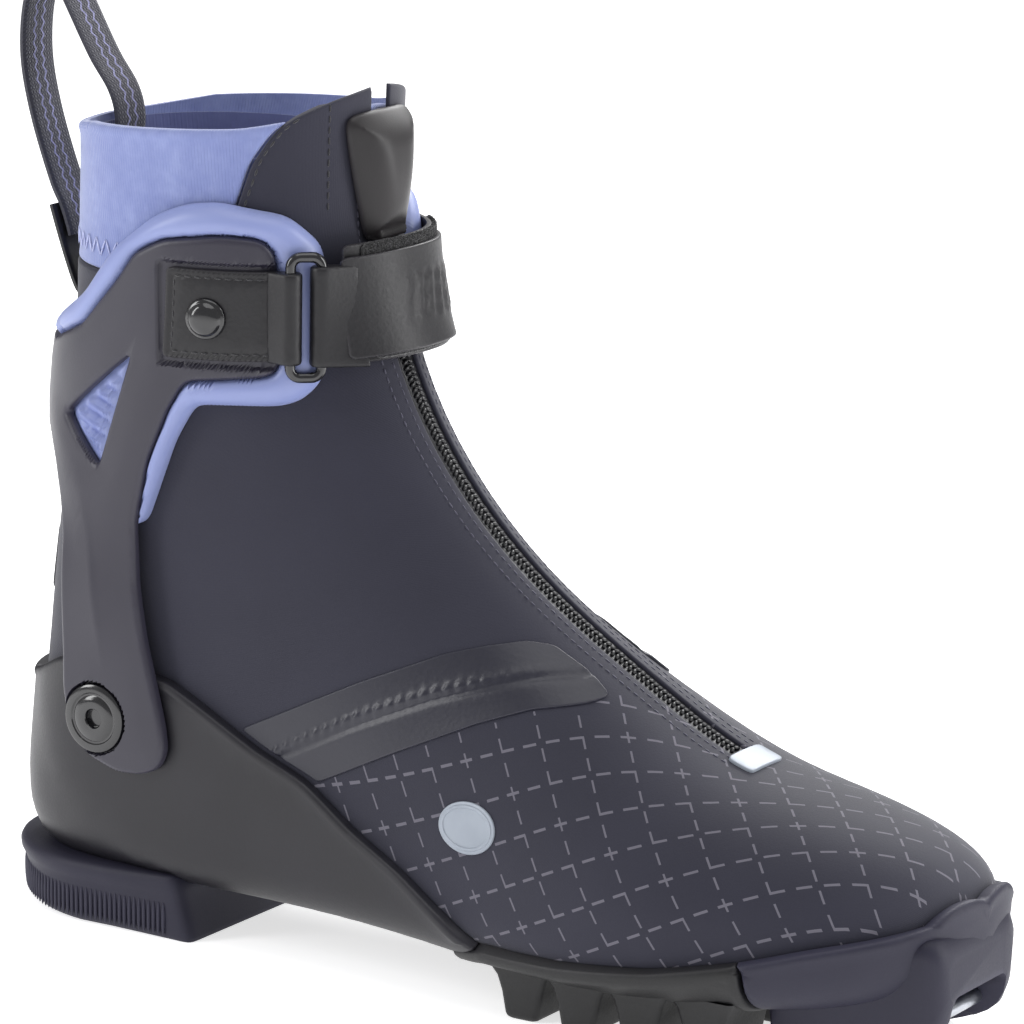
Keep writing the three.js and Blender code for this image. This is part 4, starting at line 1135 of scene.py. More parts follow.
# %% Lining, shin gusset and tongue
lining_outline = np.vstack([level_line(132, -0.35, -2 * math.pi + 0.35, 90),
                            level_line(209, -2 * math.pi + 0.35, -0.35, 90)])
leg_lining = panel("leg_lining", [lining_outline], -2.65, -3.2, lining, bevel=0.2, spacing=5.0, edge_step=2.5)
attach(leg_lining, "cuff")
shin_gusset = panel("shin_gusset_knit", [front_outline(11.75, 17.2, 18, 18, 3)], -3.6, -5.6, knit,
                    bevel=0.8, spacing=3.5)
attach(shin_gusset, "cuff")
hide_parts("shin_gusset")
tongue_pad = panel("tongue_pad", [front_outline(5.4, 8.5, (22, 18), (22, 18), 3)], -3.6, -6.2, softshell,
                   bevel=1.0, spacing=3.5)
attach(tongue_pad, "boot")
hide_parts("tongue")

# %% [markdown]
# The zip runs down the front of the leg and over the instep. It is a reversed coil: two black tapes, and
# between them a chain of fine slanted ribs. The tapes are one panel, the ribs are beads set along the
# middle.

# %% Zip tapes, coil and stitching
def tape_height(spot):
    """Each tape has a low ridge beside the coil."""
    return -1.05 + 0.35 * np.clip(1 - np.abs(np.abs(spot.base[:, 1]) - 2.6) / 0.5, 0, 1)


zip_tapes = panel("zip_tapes", [front_outline(5.6, 17.0, 6.0, 6.0, 0.8)], tape_height, -2.1, tape,
                  bevel=0.3, spacing=1.5, rings=(1.0,), edge_step=1.5)
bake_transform(zip_tapes)
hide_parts("zip_lower", "zip_flex", "zip_upper")
chain = [(y, seam_points([front_line(5.75, 15.4, y, 300)], -0.75, 1.5)) for y in (-0.95, 0.95)]
coil_points = np.vstack([spots for _, (spots, _, _) in chain])
coil_out = np.vstack([outs for _, (_, _, outs) in chain])
coil_way = np.vstack([np.cross(outs, ways) + 0.45 * np.sign(y) * ways for y, (_, ways, outs) in chain])
coil_ribs = beads("zip_coil_ribs", coil_points, coil_way, coil_out, coil, 2.5, 1.15, 1.3, 8, 6)
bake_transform(coil_ribs)
seams = [front_line(5.6, 15.6, y, 260) for y in (-6.2, -9.2, 6.2, 9.2)]
zip_stitches = stitches("zip_stitches", seams, 0.02, navy_thread, 2.4, 1.7, 0.55)
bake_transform(zip_stitches)
upper_seam = front_line(15.6, 17.5, -17.5, 60)
collar_seam = edge_line[6:] + [0.0, -0.07]
panel_stitches = stitches("panel_stitches", [collar_seam, upper_seam], 0.05, dark_thread, 2.8, 2.0, 0.6)
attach(panel_stitches, "cuff")
print("zip coil ribs:", len(coil_points))

# %% Zip end, slider, pull and garage
zip_end = panel("zip_end_cover", [front_outline(5.2, 5.66, 8, 8, 1.0)], 0.9, 0.05, silver_film, bevel=0.3,
                spacing=2.0)
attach(zip_end, "boot")
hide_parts("zip_end_patch")
slider = panel("slider_body", [front_outline(14.12, 14.78, 4.2, 3.2, 1.2)], 2.9, 0.8, black_gloss,
               bevel=0.9, spacing=1.0,
               edge_step=0.6)
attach(slider, "zip_slider")
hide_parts("zip_slider")
pull = panel("pull_tag", [front_outline(13.42, 14.42, (2.6, 2.0), (2.6, 2.0), 1.0)],
             lambda spot: 4.4 - 0.5 * (spot.edge > 0.9), 3.3, black_gloss, bevel=0.4, spacing=0.9,
             rings=(0.8, 1.0), edge_step=0.6)
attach(pull, "zip_pull")
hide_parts("zip_pull")


def garage_height(spot):
    share = np.clip((spot.u - 14.66) / (17.22 - 14.66), 0, 1)
    crown = 3 + 4.6 * np.sin(math.pi * np.minimum(0.18 + 0.64 * share, 0.9))
    return 1.4 + (crown - 1.4) * np.clip(np.sin(np.clip(spot.edge / 9.0, 0, 1) * math.pi / 2), 0, 1) ** 0.8


def garage_floor(spot):
    """The lower end is a hood over the slider."""
    return np.where((spot.u < 15.0) & (np.abs(spot.base[:, 1]) < 5.5), 3.1, 0.75)


garage = panel("garage_cover", [front_outline(14.66, 17.22, (8, 14), (7, 13), 2.4)],
               lambda spot: np.maximum(garage_height(spot), garage_floor(spot) + 0.8), garage_floor,
               garage_film,
               bevel=0.6, spacing=1.6, rings=(1.0, 1.6, 2.4, 3.4, 4.6), edge_step=1.0)
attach(garage, "cuff")
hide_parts("zip_garage")

# %% [markdown]
# Two glossy films are welded over the instep on each side, with a bumpy seam between them, and a small
# silver patch sits below. They are thin panels whose height carries the relief.

# %% Welded bands and side patch
def crease_gap(base, line):
    """Distance from a line drawn in side view, negative on its lower side."""
    side = base[:, [0, 2]]
    gap = distance_to(side, line[:-1], line[1:])
    nearest = np.argmin(((side[:, None] - line[None]) ** 2).sum(2), 1)
    ahead = line[np.minimum(nearest + 1, len(line) - 1)] - line[np.maximum(nearest - 1, 0)]
    away = side - line[nearest]
    return gap * np.sign(ahead[:, 0] * away[:, 1] - ahead[:, 1] * away[:, 0] + 1e-9)


SADDLE = [(84.6, 61.1), (119.4, 78.5), (142, 88.4), (152, 91.1), (160, 92.5), (166, 91.6), (176, 86.2),
          (183.6, 81.2), (181, 80), (168, 77.9), (155, 73.2), (132.5, 62.7), (108.9, 50.9), (106.6, 52.1),
          (90.5, 58.1)]
SEAM = locate(soft_line([(92, 53.4), (120.5, 68.4), (141.1, 77.5), (156.6, 82.6), (167.4, 85.3),
                         (177, 85.8)], 1.0, 3.0), 0.5)
seam_mm = form(SEAM[:, 0], SEAM[:, 1])
seam_run = np.r_[0, np.cumsum(np.linalg.norm(np.diff(seam_mm, axis=0), axis=1))]


def band_height(spot):
    """Two flat films that fade into the fabric at their outer edges, with a bumpy bead along the seam."""
    outer_side = np.where(spot.base[:, 1:2] < 0, spot.base, spot.base * [1, -1, 1])
    side = outer_side[:, [0, 2]]
    across = crease_gap(outer_side, seam_mm[:, [0, 2]])
    run = np.interp(side[:, 0], seam_mm[:, 0], seam_run)
    fade = np.clip((172 - side[:, 0]) / 22, 0.15, 1)
    bumps = np.exp(-((across - 1.5) / 1.1) ** 2) * (0.45 + 0.3 * np.sin(run * 2 * math.pi / 3.4)) * fade
    crease = -0.3 * np.exp(-((across + 0.4) / 0.7) ** 2)
    lower_film = 0.35 * np.clip(-across / 2.0, 0, 1) * np.exp(-np.clip(-across - 2, 0, 99) / 7.0)
    return 0.5 + bumps + crease + lower_film


saddle_ring = locate(soft_ring(SADDLE, 1.0, 0.9), 0.5)
seam_ahead = np.gradient(SEAM, axis=0)[:, ::-1] * [1, -1]
seam_ahead /= np.linalg.norm(seam_ahead * [14.0, 35.0], axis=1, keepdims=True)
seam_rows = np.vstack([SEAM + seam_ahead * d for d in (-3.0, -2.2, -1.5, -0.8, 0.0, 0.5, 1.2, 2.0)])
for side, name in ((1, "saddle_film_outer"), (-1, "saddle_film_inner")):
    band_piece = panel(name, [saddle_ring * [1, side]], band_height, 0.04, film, bevel=0.3, spacing=1.2,
                       rings=(0.6, 1.2),
                       extra=seam_rows * [1, side])
    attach(band_piece, "boot")
    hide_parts(name.replace("film", "band"))
oval = np.stack([157 + 9 * np.cos(np.linspace(0, 2 * math.pi, 49)[:-1]),
                 48 + 6.5 * np.sin(np.linspace(0, 2 * math.pi, 49)[:-1])], -1)
patch_piece = panel("side_oval", [locate(oval, 0.5)],
                    lambda spot: 0.5 + 0.25 * ((spot.edge > 0.9) & (spot.edge < 1.7)), 0.04,
                    silver_film, bevel=0.3, spacing=1.2, rings=(0.8, 1.0, 1.3, 1.6, 1.8), edge_step=0.8)
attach(patch_piece, "boot")
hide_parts("side_patch")

# %% [markdown]
# The heel shell is one stiff moulding that wraps the heel and runs forward under the arch. A soft crease
# curls over its side. Its panel runs from the outer edge, under the sole, to the inner edge.

# %% Heel shell
SHELL_TOP = [(8, 63.7), (18, 67.3), (28, 72.7), (46, 73), (63, 71), (73, 66), (90, 57), (106, 51),
             (121, 41), (138, 33), (151, 25), (161, 17)]
shell_edge = locate(soft_line(SHELL_TOP, 1.0, 2.5), 3.05)
shell_border = np.vstack([level_line(63.4, math.pi, shell_edge[0, 1], 20)[1:-1], shell_edge,
                          across_sole_line(150.5, shell_edge[-1, 1] + 0.25, math.pi, 20)[:-1]])
CREASE = soft_line([(18, 54), (30, 35), (39, 27), (50, 21), (66, 18), (84, 17.6)], 1.0, 3.0)


def shell_height(spot):
    gap = crease_gap(spot.base, CREASE)
    fade = np.clip((88 - spot.base[:, 0]) / 20, 0, 1) * np.clip((spot.base[:, 0] - 10) / 12, 0, 1)
    step = 0.9 / (1 + np.exp(-gap / 0.8)) - 0.45
    lip = 0.5 * np.exp(-((spot.edge - 1.5) / 1.1) ** 2)
    return 3.05 + fade * step + lip * (spot.base[:, 2] > 20)


heel_cup = panel("heel_cup", [mirror_outline(shell_border, at_back(63.4), under_sole(150.5))], shell_height,
                 0.3, shell_plastic,
                 bevel=0.9, spacing=2.6, rings=(1.5, 2.2, 3.0))
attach(heel_cup, "boot")
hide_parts("heel_shell")
cord_parts = []
for side in (1, -1):
    line = np.stack([shell_edge[8:, 0], shell_edge[8:, 1] * side], -1)
    centres = surface(line[:, 0], line[:, 1], 0.7)
    ways = np.gradient(centres, axis=0)
    ways /= np.linalg.norm(ways, axis=1, keepdims=True)
    outs = outward(line[:, 0], line[:, 1])
    sides = np.cross(ways, outs)
    cord_rings = [circle(c + s * 0.9 * side, o, s, 0.75, 8) for c, o, s in zip(centres, outs, sides)]
    cord_parts.append(loft("edge_line", cord_rings, shell_plastic))
shell_piping = join("shell_piping", cord_parts)
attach(shell_piping, "boot")

# %% [markdown]
# The heel tread is a ring of rings: one outline of the heel in plan, pulled in or out at each height to
# give the flat foot, the hollow side and the lip. Its upright ribs are beads set around the side.

# %% Heel tread
turn = np.linspace(math.pi / 2, 3 * math.pi / 2, 60)
plan = np.vstack([np.stack([33 + 34 * np.cos(turn), 33.5 * np.sin(turn)], -1),
                  np.stack([np.linspace(36, 68.5, 12), np.full(12, -33.5)], -1),
                  np.stack([np.full(12, 68.5), np.linspace(-32, 32, 12)], -1),
                  np.stack([np.linspace(68.5, 36, 12), np.full(12, 33.5)], -1)])
plan = soft_ring(plan, 1.55, 2.2)
plan_way = np.roll(plan, -1, 0) - np.roll(plan, 1, 0)
plan_out = np.stack([plan_way[:, 1], -plan_way[:, 0]], -1)
plan_out /= np.linalg.norm(plan_out, axis=1, keepdims=True)
if (plan_out * (plan - [33, 0])).sum() < 0:
    plan_out = -plan_out
front_share = np.clip((plan[:, 0] - 42) / 26.5, 0, 1)
rocker = lambda x: np.interp(x, [-1, 8, 19, 32], [6.5, 3.0, 0.7, 0.0])
levels = [(-3.2, 0.0), (-1.6, 0.25), (-0.8, 1.2), (-0.2, 3.6), (0.0, 7), (0.1, 9.6), (0.4, 11.4),
          (1.0, 12.6), (1.5, 13.8), (1.6, 15.2), (1.2, 16.4), (0.2, 17.2), (-3, 17.5)]
tread_rings = []
for grow, z in levels:
    ring = plan + plan_out * (grow * (1 - 0.8 * front_share))[:, None]
    ring[:, 0] -= front_share * z * 0.3
    tread_rings.append(np.stack([ring[:, 0], ring[:, 1], z + rocker(ring[:, 0]) * (1 - z / 17.5)], -1))
tread = loft("tread_body", tread_rings, tread_rubber, sharp=60)
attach(tread, "boot")
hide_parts("heel_tread")
ribbed = plan[:, 0] < 60
rib_at = np.c_[plan[ribbed] + plan_out[ribbed] * 0.05, 5.6 + 0.7 * rocker(plan[ribbed, 0])]
rib_normals = np.c_[plan_out[ribbed], np.zeros(ribbed.sum())]
tread_ribs = beads("tread_ribs", rib_at, np.tile([0.0, 0.0, 1.0], (len(rib_at), 1)), rib_normals,
                   tread_rubber, 9.0, 1.15, 1.1, 8, 8)
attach(tread_ribs, "boot")

# %% Forefoot outsole and its lugs
SOLE_TOP = [(163, 16.8), (187, 18), (213, 21), (236, 26)]
sole_edge = locate(soft_line(SOLE_TOP, 1.0, 2.0), 3.75)
outsole_ring = np.vstack([sole_edge, across_sole_line(235.6, sole_edge[-1, 1] + 0.1, math.pi, 16)])
half_start = across_sole_line(152, math.pi, sole_edge[0, 1] + 0.15, 16)[1:]
outsole_half = np.vstack([half_start, outsole_ring[:-1]])


def sole_height(spot):
    lip = 0.9 * np.exp(-((spot.edge - 2.0) / 1.6) ** 2) * (spot.base[:, 2] > 14)
    return 3.4 + lip


rand = panel("outsole_rand", [mirror_outline(outsole_half, under_sole(152), under_sole(235.6))],
             sole_height, 0.3, outsole_rubber,
             bevel=0.8, spacing=3.0, rings=(1.4, 2.2, 3.2))
lug_parts = [rand]
sole_slices = slices(np.linspace(0, 12, 400))
for row in range(4):
    x = 173 + 17 * row
    outer, inner = (float(np.interp(-x, -sole_slices[:, 2], sole_slices[:, k])) for k in (4, 5))
    for y0, y1 in ((-outer + 6.5, -13), (-5, 9), (17, inner - 5.5)):
        middle, half_y = (y0 + y1) / 2, (y1 - y0) / 2
        rings = []
        for z, half_x, trim in ((0, 3.9, 1.1), (0.5, 4.6, 0.5), (1.4, 4.9, 0.1), (7, 6.0, 0),
                                (11, 7.2, -0.4), (14.5, 9.4, -1.4)):
            outline = rounded_plate(half_x, half_y - trim, 1.6, 5)
            rings.append(np.stack([x + outline[:, 0], middle + outline[:, 1],
                                   np.full(len(outline), float(z))], -1))
        lug_parts.append(loft("lug", rings, outsole_rubber, sharp=50))
outsole_piece = join("forefoot_sole", lug_parts)
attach(outsole_piece, "boot")
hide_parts("outsole")
print("lugs:", len(lug_parts) - 1)

# %% [markdown]
# The toe piece is a thick rubber bumper with a block under it that a ski binding grips. The bumper is a
# panel that wraps the toe. The block is a loft with the binding's recess and two guide grooves cut out of
# it by booleans, because those edges are crisp on the real one, then softened by a small bevel.

# %% Toe bumper
toe_edge = locate(soft_line([(236.4, 26.1), (254, 31), (266, 33.6), (272, 35.0), (275.5, 36.0)], 1.0, 2.0),
                  3.6)
toe_centre_u = 0.66
toe_cross = np.stack([np.linspace(toe_edge[-1, 0], toe_centre_u, 10),
                      np.linspace(toe_edge[-1, 1], 0.0, 10)], -1)[1:]
toe_half = np.vstack([across_sole_line(236.4, math.pi, toe_edge[0, 1] + 0.1, 18), toe_edge, toe_cross])
TIP = -0.125
toe_tip = np.stack([np.full(24, TIP), np.linspace(0, 2 * math.pi, 24)], -1)
toe_outline = np.vstack([toe_half, toe_tip, (toe_half[::-1] * [1, -1] + [0, 2 * math.pi])[:-1]])


def toe_height(spot):
    return 3.6 + 0.5 * np.exp(-((spot.edge - 1.3) / 1.0) ** 2) * (spot.base[:, 2] > 20)


toe_skin = panel("toe_skin", [toe_outline], toe_height, 0.3, tread_rubber, bevel=0.8, spacing=2.4,
                 rings=(1.3, 2.0, 3.0),
                 seam=(0.0, 2 * math.pi), edge_step=1.2, pole=TIP)

# %% Toe block
BAR_Y = 4.0
# Each section of the block: length, half width, lowest and highest.
SECTIONS = [
    (236.6, 30.0, 2.0, 17), (238, 31.5, 0.3, 20), (242, 32.0, 0.0, 22), (250, 31.0, 0.0, 25),
    (256, 29.5, 0.0, 27), (260, 27.5, 0.3, 28.5), (264, 25.5, 1.6, 30), (268, 24.2, 3.0, 31.5),
    (272, 23.2, 4.6, 33), (275, 22.5, 6.2, 33.5), (277.6, 21.5, 8.4, 32.5), (279.3, 19.8, 11.5, 30.5),
    (280.2, 17.5, 15.0, 27.5),
]
block_rings = []
for x, half_y, low, high in SECTIONS:
    outline = rounded_plate(half_y, (high - low) / 2, min(5.0, (high - low) / 2.2), 6)
    lean = np.clip((high - (outline[:, 1] + (high + low) / 2)) / (high - low), 0, 1)
    block_rings.append(np.stack([np.full(len(outline), float(x)),
                                 BAR_Y + outline[:, 0] * (1 - 0.10 * lean),
                                 (high + low) / 2 + outline[:, 1]], -1))
toe_block = loft("toe_block", block_rings, tread_rubber, sharp=45)


def cutter(name, x0, x1, y0, y1, z0, z1, corner):
    outline = rounded_plate((y1 - y0) / 2, (z1 - z0) / 2, corner, 6)
    rings = [np.stack([np.full(len(outline), float(x)), (y0 + y1) / 2 + outline[:, 0],
                       (z0 + z1) / 2 + outline[:, 1]], -1)
             for x in (x0, x1)]
    return loft(name, rings, tread_rubber)


def carve(piece, tools, bevel_mm, sharp=35):
    """Cuts the tools out of a piece, softens the new edges and makes the result a plain mesh."""
    for tool in tools:
        cut = piece.modifiers.new("cut", "BOOLEAN")
        cut.operation = "DIFFERENCE"
        cut.solver = "EXACT"
        cut.object = tool
    soften = piece.modifiers.new("soften", "BEVEL")
    soften.width = bevel_mm * MM
    soften.segments = 2
    soften.limit_method = "ANGLE"
    soften.angle_limit = math.radians(40)
    mesh = bpy.data.meshes.new_from_object(piece.evaluated_get(bpy.context.evaluated_depsgraph_get()))
    piece.modifiers.clear()
    piece.data = mesh
    for tool in tools:
        bpy.data.objects.remove(tool)
    return finish_mesh(piece, sharp)


recess = cutter("recess", 257.5, 300, BAR_Y - 14.5, BAR_Y + 14.5, -12, 17.5, 3.0)
guides = [cutter("guide", 230, 271, BAR_Y + y - 4, BAR_Y + y + 4, -6, 5, 1.2) for y in (-11, 11)]
carve(toe_block, [recess] + guides, 0.5)
toe_piece = join("toe_bumper", [toe_skin, toe_block])
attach(toe_piece, "boot")
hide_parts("toe_piece")
bar = turned("toe_pin", np.array([271.5, BAR_Y - 20.8, 9.5]), [0, 1, 0],
             [(0, 0), (1.6, 0), (2.0, 0.4), (2.0, 41.2), (1.6, 41.6), (0, 41.6)], steel, 32)
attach(bar, "boot")
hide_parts("toe_bar")

# %% [markdown]
# The cuff. A padded liner lies on the leg and its fat bead frames the stiff plate, so the bead is a tube
# worked into the liner's height. The plate has a window, a pocket for the strap's tab and two flat arms
# that reach down to the hinge, standing clear of the heel shell.

# %% Cuff outlines
PLATE = [(23, 157), (36, 162.5), (49, 175.5), (55.5, 183.8), (64, 187.9), (80, 190), (90, 189.4),
         (92.8, 185.8), (93.4, 175), (94, 158), (93, 154.8), (89.5, 153.6), (70, 151.5), (65, 143.7),
         (58.5, 129.2), (54.8, 112.9), (55.6, 96), (58, 82), (63.8, 60), (64.8, 53), (62.5, 48),
         (57, 45.6), (49.5, 45.2), (40, 48.5), (34, 54.5), (32, 66), (32, 76), (31.5, 92), (30, 105),
         (26.7, 117), (24, 124.5), (19.5, 131), (12, 133.6)]
LINER = [(20, 161), (36, 171), (47, 184), (60, 193.5), (69, 197), (78, 198), (94, 195), (100, 188),
         (102, 173), (102, 153), (98, 148), (93, 146), (71, 145), (65, 135), (56, 112), (38, 108),
         (29, 122), (20, 134), (12, 136.6)]
WINDOW = [(54, 157), (29, 138.2), (42.8, 125.9)]


def around_back(points, height, top_z, low_z, soft):
    """Outline that goes round the leg behind, from a drawn front part and two levels at the back."""
    line = locate(soft_line(points, 1.0, soft), height)
    border = np.vstack([level_line(top_z, math.pi, line[0, 1], 20)[1:-1], line,
                        level_line(low_z, line[-1, 1], math.pi, 20)[1:-1]])
    return mirror_outline(border, at_back(top_z), at_back(low_z))


plate_outline = around_back(PLATE, 5.9, 156, 134.6, 1.8)
liner_outline = around_back(LINER, 3.0, 160, 137.6, 2.2)
window_ring = locate(soft_ring(WINDOW, 0.8, 1.3), 5.9)
to_inner = lambda ring: ring * [1, -1] + [0, 2 * math.pi]
flat_of = lambda loop: np.stack([loop[:, 1] * AROUND, loop[:, 0] * ALONG], -1)


def gap_to(base, loops):
    """Distance to outlines given as stations and angles."""
    starts = np.vstack([form(l[:, 0], l[:, 1]) for l in loops])
    ends = np.vstack([form(np.roll(l[:, 0], -1), np.roll(l[:, 1], -1)) for l in loops])
    return distance_to(base, starts, ends)


# %% Cuff liner with its bead
def liner_height(spot):
    flat = flat_of(np.stack([spot.u, spot.phi], -1))
    under_plate = inside(flat, [flat_of(plate_outline)])
    to_plate = gap_to(spot.base, [densify(plate_outline, 2.0)])
    width = spot.edge + to_plate
    tube = np.sqrt(np.clip(1 - (2 * spot.edge / width - 1) ** 2, 0, 1))
    bead = 1.0 + 1.7 * spot.edge / width + (1.1 + np.minimum(0.42 * width, 2.9)) * tube
    in_window = inside(flat, [flat_of(window_ring), flat_of(to_inner(window_ring))])
    depth = gap_to(spot.base, [window_ring, to_inner(window_ring)])
    run = spot.base[:, 0] * 0.35 + spot.base[:, 2]
    ribs = 0.8 * np.cos(2 * math.pi * run / 4.6)
    pad = 2.9 + np.clip(depth / 3.0, 0, 1) * (1.5 + ribs)
    return np.where(under_plate, np.where(in_window, pad, np.minimum(2.7 + 0.1 * to_plate, 2.9)), bead)


dense_window = [np.stack(np.meshgrid(np.linspace(window_ring[:, 0].min(), window_ring[:, 0].max(), 34),
                                     np.linspace(window_ring[:, 1].min(), window_ring[:, 1].max(), 34)),
                         -1).reshape(-1, 2)]
dense_window.append(to_inner(dense_window[0]))
dense_window.append(densify(plate_outline, 1.2))
cuff_pad = panel("cuff_pad", [liner_outline], liner_height, 0.3, liner, bevel=0.35, spacing=3.0,
                 rings=(0.8, 1.5, 2.3, 3.2, 4.2, 5.2, 6.3, 7.4, 8.6, 9.8), extra=np.vstack(dense_window))
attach(cuff_pad, "cuff")
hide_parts("cuff_liner")

# %% Cuff plate
ARM_FACE, ARM_WALL, CUFF_INNER, CUFF_WALL = 38.3, 3.0, 3.4, 2.5
ARM_RIDGE = soft_line([(37, 128), (42, 106), (45, 84), (46, 73)], 1.0, 2.0)
inset = lambda d: [(94, 182.8 - d), (63.2 + d, 182.8 - d), (63.2 + d, 156 + d), (94, 156 + d)]
pocket_lines = [locate(soft_line(inset(d), 1.0, 0.8), 5.0) for d in (-0.9, -0.45, 0.0, 0.45, 0.9)]
pocket_area = locate(soft_line([(94, 182.8), (63.2, 182.8), (63.2, 156), (94, 156)], 1.0, 0.8), 5.0)
pocket_front = [[at_height(z, np.array([0.6]))[0], 0.6] for z in (156, 182.8)]
pocket_loop = np.vstack([pocket_area, pocket_front])
spin = np.linspace(0, 2 * math.pi, 48, endpoint=False)
pivot_rings = [locate(np.stack([PIVOT[0] + r * np.cos(spin), PIVOT[1] + r * np.sin(spin)], -1), 5.9)
               for r in (9.3, 9.65, 9.9, 10.4)]
ridge_points = [locate(ARM_RIDGE + [d, 0], 5.9) for d in (-1.6, -0.8, 0, 0.8, 1.6)]


def cuff_height(spot):
    flat = flat_of(np.stack([spot.u, spot.phi], -1))
    in_pocket = inside(flat, [flat_of(pocket_loop)])
    pocket_mm = form(pocket_area[:, 0], pocket_area[:, 1])
    gap = distance_to(spot.base, pocket_mm[:-1], pocket_mm[1:])
    depth = np.clip(0.5 + np.where(in_pocket, gap, -gap) / 0.9, 0, 1)
    ridge = crease_gap(spot.base, ARM_RIDGE)
    fade = np.clip((126 - spot.base[:, 2]) / 14, 0, 1) * np.clip((spot.base[:, 2] - 70) / 14, 0, 1)
    facet = 0.9 * fade * np.exp(-np.abs(ridge) / 4.5)
    swell = 0.5 * np.clip((spot.edge - 1.4) / 6, 0, 1)
    return 5.7 + swell - 1.25 * depth + facet


def flat_arms(points, height):
    """Below the ankle the arms stand off as flat plates, with a round seat for the screw."""
    points = points.copy()
    level_share = np.clip((points[:, 2] - 88) / 28, 0, 1)
    flatness = 1 - level_share**2 * (3 - 2 * level_share)
    face = ARM_FACE + ARM_WALL * (height - CUFF_INNER) / CUFF_WALL
    reach = np.abs(points[:, 1])
    target = np.maximum(reach, face)
    wide = reach > 20
    sign = np.sign(points[:, 1])
    points[:, 1] = np.where(wide, sign * (reach + (target - reach) * flatness), points[:, 1])
    from_pivot = np.hypot(points[:, 0] - PIVOT[0], points[:, 2] - PIVOT[1])
    seat = (from_pivot < 9.75) & (height > CUFF_INNER + 1) & wide
    points[:, 1] = np.where(seat, sign * np.minimum(np.abs(points[:, 1]), ARM_FACE + 1.5), points[:, 1])
    return points


extra_points = np.vstack(pocket_lines + pivot_rings + ridge_points)
extra_points = np.vstack([extra_points] + [to_inner(p) for p in pivot_rings + ridge_points])
cuff_plate = panel("cuff_plate", [plate_outline, window_ring, to_inner(window_ring)], cuff_height,
                   CUFF_INNER, cuff_plastic,
                   bevel=1.5, spacing=2.4, rings=(2.2, 3.0, 4.2, 5.6), reshape=flat_arms, extra=extra_points)
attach(cuff_plate, "cuff")
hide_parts("cuff_shell")
print("cuff plate", len(cuff_plate.data.polygons), "faces")

# %% Hinge screws
for side, name in ((-1, "hinge_screw_outer"), (1, "hinge_screw_inner")):
    head_profile = [(0, -3), (3.6, -3), (3.6, 0.1), (9.3, 0.1), (9.3, 1.1), (9.0, 1.6), (8.4, 1.85),
                    (7.0, 1.9), (6.7, 1.6), (6.2, 1.55), (5.8, 1.85), (3.4, 1.95), (2.7, 1.9), (2.4, 1.5),
                    (2.3, 0.3), (0, 0.3)]
    screw = turned(name + "_head", np.array([PIVOT[0], side * (ARM_FACE + 1.5), PIVOT[1]]), [0, side, 0],
                   head_profile, black_gloss, 56)
    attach(screw, "boot")
    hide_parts(name)

# %% [markdown]
# The power strap closes the cuff. A leather tab is riveted in the pocket and folds round the rear bar of
# a wire ring. The strap comes from the inner side, its free end folds round the ring's front bar and
# sticks back on the pile. Sleeves are hulls: the smallest shape that holds the bar's circle and the
# strap's edge.

# %% Strap helpers
REAR_BAR, FRONT_BAR = np.array([96.96, -31.56]), np.array([103.06, -26.38])


def hull(points):
    """Smallest convex outline round flat points."""
    points = sorted(map(tuple, points))
    halves = []
    for row in (points, points[::-1]):
        chain_points = []
        for p in row:
            while len(chain_points) > 1:
                (ax, ay), (bx, by) = chain_points[-2:]
                if (bx - ax) * (p[1] - ay) - (by - ay) * (p[0] - ax) > 0:
                    break
                chain_points.pop()
            chain_points.append(p)
        halves += chain_points[:-1]
    return np.array(halves)


def sleeve(name, bar_at, radius, drawn_angle, low_height, high_height, low, high, body):
    """The fold of a strap round a bar: a loft of hulls, each of the bar's circle and the strap's edge."""
    rings = []
    phi = even_angle(drawn_angle)
    count = 48
    for z, trim in ((low, 0.5), (low + 0.35, 0.12), (low + 0.9, 0),
                    *[(z, 0) for z in np.linspace(low + 2, high - 2, 8)],
                    (high - 0.9, 0), (high - 0.35, 0.12), (high, 0.5)):
        u = at_height(z, np.array(phi))
        plate = [surface(u, np.array(phi), h)[:2] for h in (low_height + trim, high_height - trim)]
        ring = circle(np.array([*bar_at, 0.0]), np.array([1.0, 0, 0]), np.array([0, 1.0, 0]), radius - trim,
                      28)[:, :2]
        outline = hull(np.vstack([ring, plate]))
        run_steps = soft_ring(outline, 0.45, 0.25)
        index = np.linspace(0, len(run_steps), count, endpoint=False)
        wrapped = np.vstack([run_steps, run_steps[:1]])
        outline = np.stack([np.interp(index, np.arange(len(wrapped)), wrapped[:, k]) for k in (0, 1)], -1)
        start = int(np.argmax(outline @ np.array([0.3, -1.0])))
        outline = np.roll(outline, -start, 0)
        rings.append(np.c_[outline, np.full(count, float(z))])
    piece = loft(name, rings, leather, sharp=55)
    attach(piece, body)


def on_leg(angle, z, height):
    phi = even_angle(angle)
    return surface(at_height(z, np.array(phi)), np.array(phi), height)


